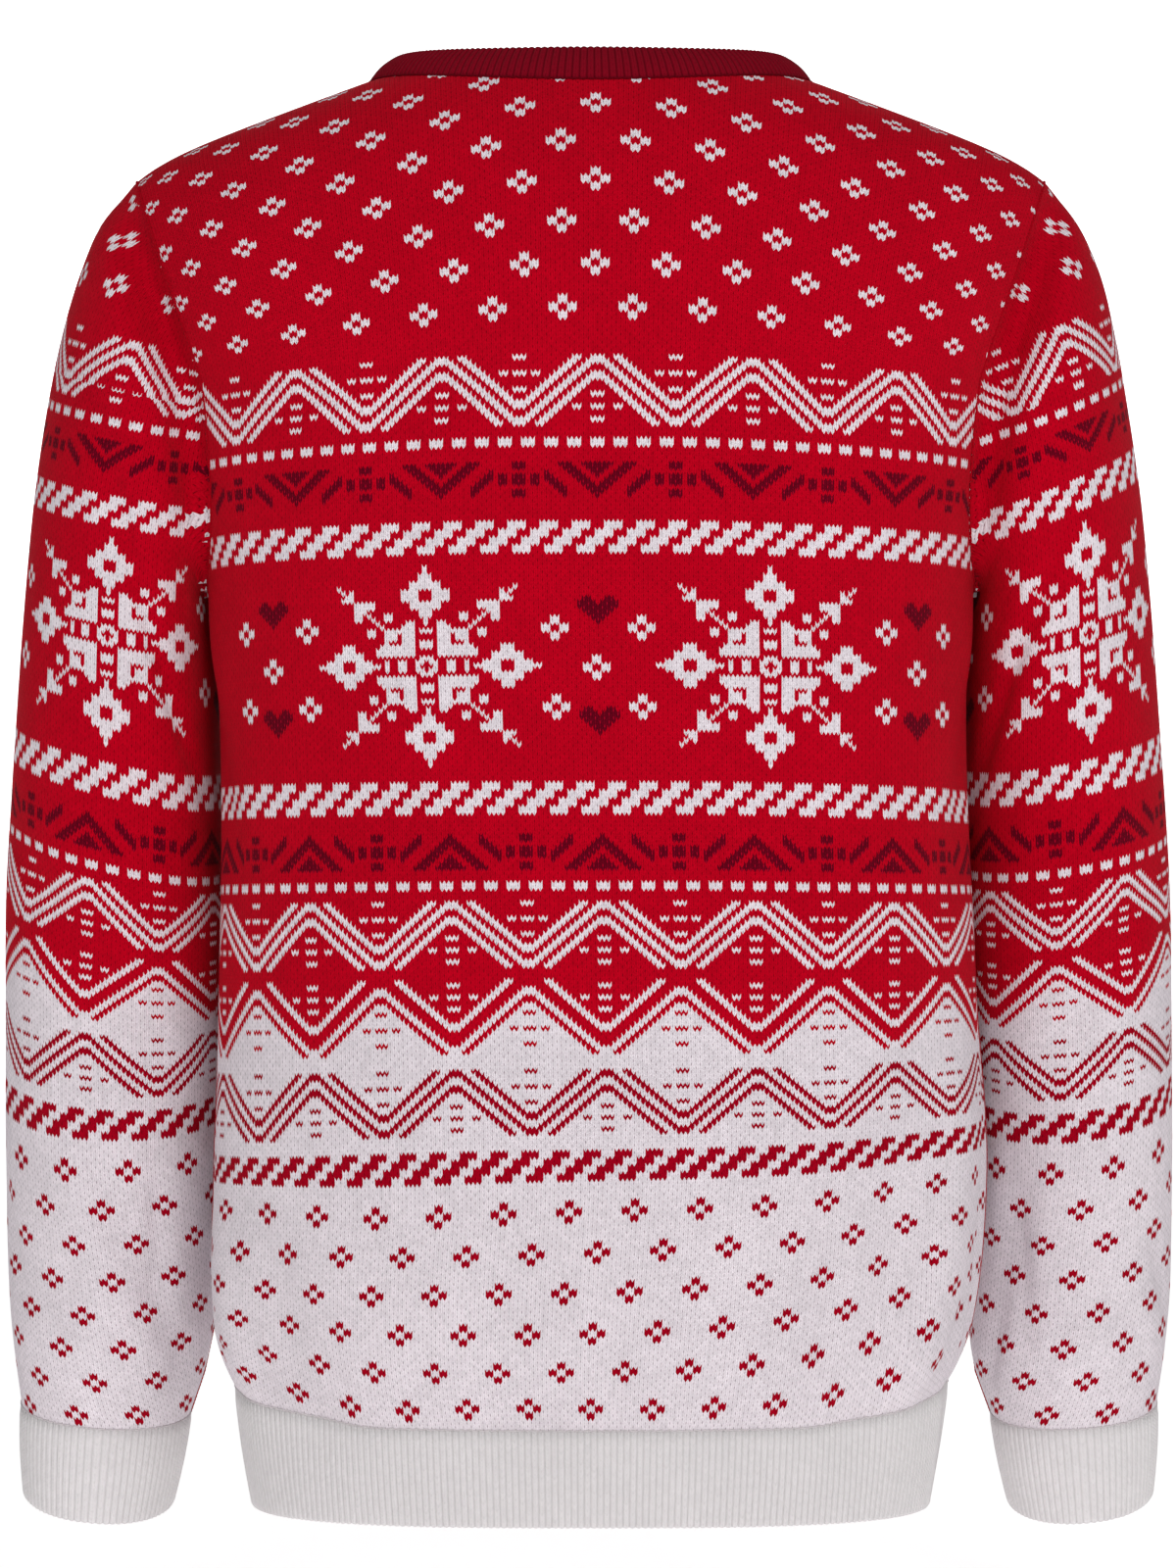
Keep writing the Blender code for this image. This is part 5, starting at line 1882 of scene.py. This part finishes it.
@dataclass
class RibBand:
    """A ribbed band that hangs from a seam: its outer face, a rounded fold and its inner face.

    The start and the end are the lines of its outer face, with the way that the cloth faces on them.
    """

    name: str
    start: Array
    end: Array
    start_facing: Array
    end_facing: Array
    ribs: int
    around: bool
    thickness: float = 0.0030
    rise: float = 0.0009
    bulge: float = 0.0008
    courses: float = 0.0019

    OUTER_ROWS = 9
    FOLD_ROWS = 5
    INNER_ROWS = 3
    POINTS_PER_RIB = 6
    RISE_AT_SEAM = 0.45

    def sections(self) -> tuple[Array, Array, Array]:
        """The points of the band, section row by row, how far each row runs and how much its ribs rise.

        Returns:
            The points, the runs and the shares of the rise.
        """
        count = self.ribs * self.POINTS_PER_RIB
        places = np.linspace(0, 1, len(self.start))
        at = np.linspace(0, 1, count + 1)
        lines = self.start, self.end, self.start_facing, self.end_facing
        start, end, first, second = (read_line(line, places, at) for line in lines)
        way, tall = unit(end - start), np.linalg.norm(end - start, axis=-1)[:, None]
        radius = self.thickness / 2
        rows, runs, weights = [], [], []
        for along in np.linspace(0, 1, self.OUTER_ROWS):
            facing = unit(first * (1 - along) + second * along)
            part = along * (1 - radius / tall)
            rows.append(start + (end - start) * part + facing * math.sin(math.pi * along) * self.bulge)
            runs.append(float(along * tall.mean()))
            weights.append(self.RISE_AT_SEAM if along == 0 else 1.0)
        centre = start + (end - start) * (1 - radius / tall) - second * radius
        for step in range(1, self.FOLD_ROWS + 1):
            angle = math.pi * step / self.FOLD_ROWS
            rows.append(centre + second * radius * math.cos(angle) + way * radius * math.sin(angle))
            runs.append(runs[-1] + radius * math.pi / self.FOLD_ROWS)
            weights.append(max(0.0, math.cos(angle / 2) ** 2))
        for along in np.linspace(1, 0, self.INNER_ROWS + 1)[1:]:
            facing = unit(first * (1 - along) + second * along)
            rows.append(start + (end - start) * along * (1 - radius / tall) - facing * self.thickness)
            runs.append(runs[-1] + float(tall.mean()) / self.INNER_ROWS)
            weights.append(0.0)
        return np.array(rows), np.array(runs), np.array(weights)

    def build(self, tree: bpy.types.NodeTree, material: bpy.types.Material) -> bpy.types.Object:
        """Makes the band and raises its ribs.

        Args:
            tree: the geometry nodes that raise ribs.
            material: its material.

        Returns:
            The band.
        """
        points, runs, weights = self.sections()
        rows, columns = points.shape[:2]
        if self.around:
            columns -= 1
            points = points[:, :-1]
        faces, corners = [], []
        wide = columns if self.around else columns - 1
        for i in range(rows):
            k = (i + 1) % rows
            low, high = runs[i], runs[k] if k else runs[i] + self.thickness
            for j in range(wide):
                m = (j + 1) % columns
                faces.append((i * columns + j, i * columns + m, k * columns + m, k * columns + j))
                spots = (j, low), (j + 1, low), (j + 1, high), (j, high)
                corners.append([(column / self.POINTS_PER_RIB, -run / self.courses) for column, run in spots])
        if not self.around:
            ends = [i * columns for i in range(rows)]
            faces += [tuple(ends), tuple(i + columns - 1 for i in ends[::-1])]
            corners += [[(0.5, 0.5)] * rows] * 2
        if self.inside_out(points):
            faces, corners = ([face[::-1] for face in part] for part in (faces, corners))
        piece = add_piece(self.name, points.reshape(-1, 3).tolist(), faces, [material])
        flat = np.concatenate(corners).astype(np.float32)
        piece.data.uv_layers.new(name="stitch").data.foreach_set("uv", flat.ravel())
        phases = np.tile(np.arange(columns) / self.POINTS_PER_RIB, rows)
        for name, values in (("rib_phase", phases), ("rib_weight", np.repeat(weights, columns))):
            layer = piece.data.attributes.new(name, "FLOAT", "POINT")
            layer.data.foreach_set("value", values.astype(np.float32))
        piece = run_nodes(piece, tree, {"Rise": self.rise, "Material": material})
        LOG.info("%s: %d faces", self.name, len(piece.data.polygons))
        return piece

    def inside_out(self, points: Array) -> bool:
        """Whether the first face of the band faces against the cloth."""
        across, along = points[0, 1] - points[0, 0], points[1, 0] - points[0, 0]
        return float(np.dot(np.cross(across, along), self.start_facing[0])) < 0


@dataclass
class LinkedSeam:
    """The loops of yarn that link two pieces, along a line on the cloth."""

    name: str
    line: Array
    facing: Array
    closed: bool = False
    spacing: float = 0.0021
    length: float = 0.0031
    width: float = 0.0011
    lift: float = 0.0002
    sway: float = 0.30

    def build(self, tree: bpy.types.NodeTree, material: bpy.types.Material) -> bpy.types.Object:
        """Makes the seam.

        Args:
            tree: the geometry nodes that lay loops.
            material: its material.

        Returns:
            The seam.
        """
        line, facing = self.line, self.facing
        if self.closed:
            line, facing = np.append(line, line[:1], axis=0), np.append(facing, facing[:1], axis=0)
        arc = np.append(0, np.cumsum(np.linalg.norm(np.diff(line, axis=0), axis=1)))
        at = np.linspace(0, arc[-1], round(arc[-1] / self.spacing) + 1)
        if self.closed:
            at = at[:-1]
        points, normals = read_line(line, arc, at), unit(read_line(facing, arc, at))
        ways = unit(np.gradient(points, axis=0))
        turns = []
        for number, (way, normal) in enumerate(zip(ways, normals)):
            beside = np.cross(normal, way)
            way = unit(way + beside * self.sway * (1 if number % 2 else -1))
            beside = unit(np.cross(normal, way))
            turn = Matrix((way, beside, np.cross(way, beside))).transposed().to_euler()
            turns.append(tuple(turn))
        piece = add_piece(self.name, (points + normals * self.lift).tolist(), [], [material])
        layer = piece.data.attributes.new("turn", "FLOAT_VECTOR", "POINT")
        layer.data.foreach_set("vector", np.array(turns, np.float32).ravel())
        values = {"Length": self.length, "Width": self.width, "Material": material}
        piece = run_nodes(piece, tree, values)
        piece.data.shade_smooth()
        LOG.info("%s: %d loops", self.name, len(turns))
        return piece


class Flat(NamedTuple):
    """The flat cut of what shows of a piece, in metres and square metres."""

    width: float
    length: float
    area: float | None = None


@dataclass
class Sweater:
    """The whole garment: its knitted pieces, ribs and seams."""

    jacquard: JacquardFinish
    white_finish: RibFinish
    wine_finish: RibFinish
    collar_side: tuple[float, float] = (0.0123, 0.0125)
    collar_back: tuple[float, float] = (0.0100, 0.0175)
    collar_front: tuple[float, float] = (0.0120, 0.0160)
    collar_thickness: float = 0.0034
    collar_rib_rise: float = 0.0007
    collar_bulge: float = 0.0012
    rib_thickness: float = 0.0026
    hem_ribs: int = 152
    cuff_ribs: int = 74
    collar_ribs: int = 190
    panel_inner_step: int = 3
    sleeve_inner_step: int = 2
    hem_points: int = 401
    side_points: int = 160
    shoulder_points: int = 60
    hem_seam_points: int = 300
    side_starts: float = 0.01
    fine_yarn: float = 0.0009
    finest_yarn: float = 0.0006

    HEM_DEPTHS = {Half.BACK: 0.1050, Half.FRONT: 0.1020}
    # By how many wales the lower flowers, and the bands above them, are moved on a sleeve
    ASIDE = {Arm.LEFT: (0, 0), Arm.RIGHT: (-2, 4)}
    FLATS = {
        "back_panel": Flat(0.50, 0.72, 0.30),
        "front_panel": Flat(0.50, 0.72, 0.29),
        "sleeve_left": Flat(0.46, 0.60, 0.20),
        "sleeve_right": Flat(0.46, 0.60, 0.20),
        "neck_rib": Flat(0.57, 0.022),
        "hem_rib_back": Flat(0.48, 0.050),
        "hem_rib_front": Flat(0.48, 0.050),
        "cuff_left": Flat(0.23, 0.052),
        "cuff_right": Flat(0.23, 0.052),
    }

    def __post_init__(self) -> None:
        """Works out the surfaces and makes the finishes."""
        self.panels = {half: Panel(half) for half in Half}
        self.cloth = [self.jacquard.face(), self.jacquard.reverse()]
        self.white_rib, self.wine_rib = self.white_finish.material(), self.wine_finish.material()
        self.cap, self.cap_facing, away = self.armhole()
        self.sleeves = {arm: Sleeve(arm, self.cap, away) for arm in Arm}
        self.ribs, self.loops = raised_ribs_tree(), linked_loops_tree()

    def armhole(self) -> tuple[Array, Array, Array]:
        """The armhole at +X, down its back and up its front: points, normals and the way off the cloth.

        Returns:
            The points, the normals and the ways.
        """
        half = SleeveSurface.around // 2
        along = 2 - 2 * np.arange(half + 1) / half
        angle = np.clip(along, 0, 1) * math.pi / 2
        heights = CHEST - (CHEST - UNDERARM) * np.cos(angle)
        levels = np.where(along > 1, along, (heights - HEM_TOP) / (CHEST - HEM_TOP))
        surfaces = [panel.surface for panel in self.panels.values()]
        ring, facing = self.both_halves(surface.line(surface.edge_at(levels), levels) for surface in surfaces)
        return ring, facing, way_off(ring, facing, ring.mean(axis=0))

    @staticmethod
    def both_halves(lines: Iterable[tuple[Array, Array]]) -> tuple[Array, Array]:
        """A closed line with its normals, from its halves on the back and the front that share their ends."""
        points, normals = (np.concatenate([back, front[-2:0:-1]]) for back, front in zip(*lines))
        return points, normals

    def dress(self, piece: bpy.types.Object) -> None:
        """Hides the solid of a piece and ties the piece to its body.

        Args:
            piece: the piece.
        """
        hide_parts(piece.name.removesuffix("_knit"))
        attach(piece, "root")

    def add_panels(self) -> None:
        """Knits the back and the front."""
        for half, panel in self.panels.items():
            cloth = KnitCloth(f"{half.name.lower()}_panel_knit", Chart(False), half is Half.FRONT)
            piece = cloth.build(panel.patch(1), panel.inner(panel.patch(self.panel_inner_step)), self.cloth)
            self.dress(piece)

    def add_sleeves(self) -> None:
        """Knits the sleeves."""
        for arm, sleeve in self.sleeves.items():
            name, chart = f"sleeve_{arm.name.lower()}_knit", Chart(True, self.ASIDE[arm])
            cloth = KnitCloth(name, chart, arm is Arm.LEFT, share=0.6)
            faces = [sleeve.patch(1), sleeve.inner(sleeve.patch(self.sleeve_inner_step))]
            if arm is Arm.RIGHT:
                faces = [face.mirrored() for face in faces]
            self.dress(cloth.build(*faces, self.cloth))

    def add_hem(self) -> None:
        """Adds the two halves of the hem rib."""
        shares = np.linspace(-1, 1, self.hem_points)
        for half, panel in self.panels.items():
            top, facing = panel.surface.line(shares, 0.0)
            away = unit(np.cross(np.gradient(top, axis=0), facing))
            away *= np.sign(-away[..., 2:])
            x, y = quarter_section(HEM_HALF_WIDTH, self.HEM_DEPTHS[half], HEM_SQUARENESS, shares)
            low = np.stack([x, half * y, np.full_like(x, HEM_BOTTOM)], axis=-1)
            low_facing = unit(np.cross([0, 0, 1.0], np.gradient(low, axis=0))) * half
            top = top + away * SEAM_GAP
            for line in (top, low):
                line[[0, -1], 1] = half * SEAM_GAP / 2
            for line in (facing, low_facing):
                line[[0, -1], 1] = 0
            name = f"hem_rib_{half.name.lower()}_knit"
            lines = top, low, unit(facing), unit(low_facing)
            band = RibBand(name, *lines, self.hem_ribs, False, self.rib_thickness)
            self.dress(band.build(self.ribs, self.white_rib))

    def neck_line(self) -> tuple[Array, Array]:
        """The neck edge round both halves, from the right shoulder over the back, with its normals.

        Returns:
            The points and the normals.
        """
        lines = []
        for panel in self.panels.values():
            shares = np.append(-panel.neck_shares[:0:-1], panel.neck_shares)
            levels = np.append(panel.neck_levels[:0:-1], panel.neck_levels)
            lines.append(panel.surface.line(shares, levels))
        return self.both_halves(lines)

    def add_collar(self) -> None:
        """Adds the collar, which leans in over the neck edge."""
        ring, facing = self.neck_line()
        middle = ring.mean(axis=0)
        start = ring + way_off(ring, facing, middle) * SEAM_GAP
        angle = np.arctan2(ring[:, 1], ring[:, 0])
        side, end = np.cos(angle) ** 2, np.sin(angle) ** 2
        ends = np.where(np.sin(angle)[:, None] > 0, self.collar_back, self.collar_front)
        lean, rise = (self.collar_side[k] * side + ends[:, k] * end for k in (0, 1))
        upper = start + unit((middle - ring) * [1, 1, 0]) * lean[:, None] + [0, 0, 1] * rise[:, None]
        upper_facing = unit(np.cross(np.roll(upper, -1, axis=0) - np.roll(upper, 1, axis=0), upper - start))
        upper_facing *= np.sign(np.sum(upper_facing * facing, axis=-1))[:, None]
        lines = (np.append(line, line[:1], axis=0) for line in (start, upper, facing, upper_facing))
        sizes = self.collar_thickness, self.collar_rib_rise, self.collar_bulge
        band = RibBand("neck_rib_knit", *lines, self.collar_ribs, True, *sizes)
        self.dress(band.build(self.ribs, self.wine_rib))

    def add_cuffs(self) -> None:
        """Adds the cuffs."""
        for arm, sleeve in self.sleeves.items():
            surface = sleeve.surface
            edge, facing = surface.points[-1], surface.normals[-1]
            low = surface.ring_points(surface.own_ring(CUFF_RING, arm), surface.angles)
            start = edge + way_off(edge, facing, low) * SEAM_GAP
            low_facing = surface.find_normals(np.array([start, low]))[1]
            lines = start, low, facing, low_facing
            lines = [np.append(line, line[:1], axis=0) * [arm, 1, 1] for line in lines]
            name = f"cuff_{arm.name.lower()}_knit"
            band = RibBand(name, *lines, self.cuff_ribs, True, self.rib_thickness)
            self.dress(band.build(self.ribs, self.white_rib))

    def add_seams(self, red: bpy.types.Material, wine: bpy.types.Material, white: bpy.types.Material) -> None:
        """Adds the loops that link the pieces.

        Args:
            red: the yarn of the seams of the body and the sleeves.
            wine: the yarn below the collar.
            white: the yarn over the hem and the cuffs.
        """
        panel = self.panels[Half.BACK]
        back, fine, finest = panel.surface, self.fine_yarn, self.finest_yarn
        seams = [(LinkedSeam("linking_neck", *self.neck_line(), True, lift=0.0004), wine)]
        levels = np.linspace(self.side_starts, (UNDERARM - HEM_TOP) / (CHEST - HEM_TOP), self.side_points)
        for arm, sleeve in self.sleeves.items():
            side, flip = arm.name.lower(), np.array([arm, 1, 1])
            points, normals = sleeve.surface.points * flip, sleeve.surface.normals * flip
            under = slice(None, None, 4), sleeve.surface.around // 2
            shares = np.linspace(panel.neck_shares[-1], back.edge_share, self.shoulder_points) * arm
            seams += [
                (LinkedSeam(f"linking_armhole_{side}", self.cap * flip, self.cap_facing * flip, True), red),
                (LinkedSeam(f"linking_sleeve_{side}", points[under], normals[under]), red),
                (LinkedSeam(f"linking_cuff_{side}", points[-1], normals[-1], True, width=fine), white),
                (LinkedSeam(f"linking_side_{side}", *back.line(arm, levels), width=finest), red),
                (LinkedSeam(f"linking_shoulder_{side}", *back.line(shares, 2)), red),
            ]
        for half, panel in self.panels.items():
            line = panel.surface.line(np.linspace(-1, 1, self.hem_seam_points), 0)
            seams.append((LinkedSeam(f"linking_hem_{half.name.lower()}", *line, width=fine), white))
        for seam, material in seams:
            piece = seam.build(self.loops, material)
            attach(piece, "root")

    def build(self) -> None:
        """Builds every piece."""
        self.add_panels()
        self.add_sleeves()
        self.add_hem()
        self.add_collar()
        self.add_cuffs()
        threads = [
            ThreadFinish(name="red_thread", colour=linear(160, 2, 22)),
            ThreadFinish(name="wine_thread", colour=linear(96, 2, 16)),
            ThreadFinish(name="white_thread", colour=linear(205, 198, 200)),
        ]
        self.add_seams(*(thread.material() for thread in threads))


class Lamp(NamedTuple):
    """A square of soft light that faces the garment."""

    name: str
    place: tuple[float, float, float]
    size: float
    power: float


LAMPS = (
    Lamp("key", (-0.9, 2.6, 0.9), 1.2, 31),
    Lamp("fill", (1.3, 2.3, 0.1), 1.4, 7),
    Lamp("top", (0.0, 0.6, 1.5), 1.4, 5),
)


@dataclass(frozen=True)
class Studio:
    """A pale floor, even soft light and the camera behind the sweater."""

    camera_y: float = 2.18
    camera_z: float = -0.3895
    camera_turn: float = 91.26
    lens: float = 102.5
    shift_x: float = -0.0016667
    aim_z: float = -0.36
    air: float = 0.2
    floor_z: float = -0.76
    floor_near: float = 4.0
    paper_far: float = -5.5
    paper_side: float = 4.0
    paper_top: float = 4.0
    floor_glow: float = 0.62
    paper_glow: float = 1.0

    def add_camera(self) -> None:
        """Puts the camera behind the garment."""
        data = bpy.data.cameras.new("camera")
        data.lens = self.lens
        data.sensor_width = 36
        data.shift_x = self.shift_x
        data.clip_end = 30
        camera = bpy.data.objects.new("camera", data)
        camera.location = (0, self.camera_y, self.camera_z)
        camera.rotation_euler = (math.radians(self.camera_turn), 0, math.pi)
        bpy.context.scene.collection.objects.link(camera)
        bpy.context.scene.camera = camera

    def add_lamp(self, lamp: Lamp) -> None:
        """Adds a lamp.

        Args:
            lamp: the lamp.
        """
        data = bpy.data.lights.new(lamp.name, "AREA")
        data.size, data.energy = lamp.size, lamp.power
        light = bpy.data.objects.new(lamp.name, data)
        light.location = lamp.place
        aim = Vector((0, 0, self.aim_z)) - Vector(lamp.place)
        light.rotation_euler = aim.to_track_quat("-Z", "Y").to_euler()
        bpy.context.scene.collection.objects.link(light)

    def add_paper(self, name: str, points: list[tuple], glow: float) -> None:
        """Adds one sheet of pale paper.

        Args:
            name: its name.
            points: its four corners.
            glow: how much light it gives off itself.
        """
        material = bpy.data.materials.new(name)
        material.use_nodes = True
        shader = material.node_tree.nodes["Principled BSDF"]
        shader.inputs["Base Color"].default_value = (0.93, 0.93, 0.93, 1)
        shader.inputs["Roughness"].default_value = 0.9
        shader.inputs["Emission Color"].default_value = (1, 1, 1, 1)
        shader.inputs["Emission Strength"].default_value = glow
        add_piece(name, points, [(0, 1, 2, 3)], [material])

    def build(self) -> None:
        """Builds the papers and the lights, and keeps the tones plain."""
        scene = bpy.context.scene
        scene.view_settings.view_transform = "Standard"
        world = bpy.data.worlds.new("studio_air")
        world.use_nodes = True
        background = world.node_tree.nodes["Background"]
        background.inputs["Color"].default_value = (1, 1, 1, 1)
        background.inputs["Strength"].default_value = self.air
        scene.world = world
        side, low, high = self.paper_side, self.floor_z, self.paper_top
        near, far = self.floor_near, self.paper_far
        floor = [(-side, far, low), (side, far, low), (side, near, low), (-side, near, low)]
        self.add_paper("floor", floor, self.floor_glow)
        wall = [(-side, far, low), (-side, far, high), (side, far, high), (side, far, low)]
        self.add_paper("backdrop", wall, self.paper_glow)
        for lamp in LAMPS:
            self.add_lamp(lamp)


def main() -> None:
    """Builds the sweater, its studio and its camera, in order."""
    logging.basicConfig(level=logging.INFO)
    studio = Studio()
    studio.add_camera()
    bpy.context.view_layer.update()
    white = RibFinish(name="white_rib")
    # The wine rib, with darker painted shade in its grooves
    wine = RibFinish(name="wine_rib", yarn_colour=linear(128, 8, 28), groove_shade=linear(72, 0, 10))
    Sweater(JacquardFinish(), white, wine).build()
    studio.build()


if __name__ == "__main__":
    main()
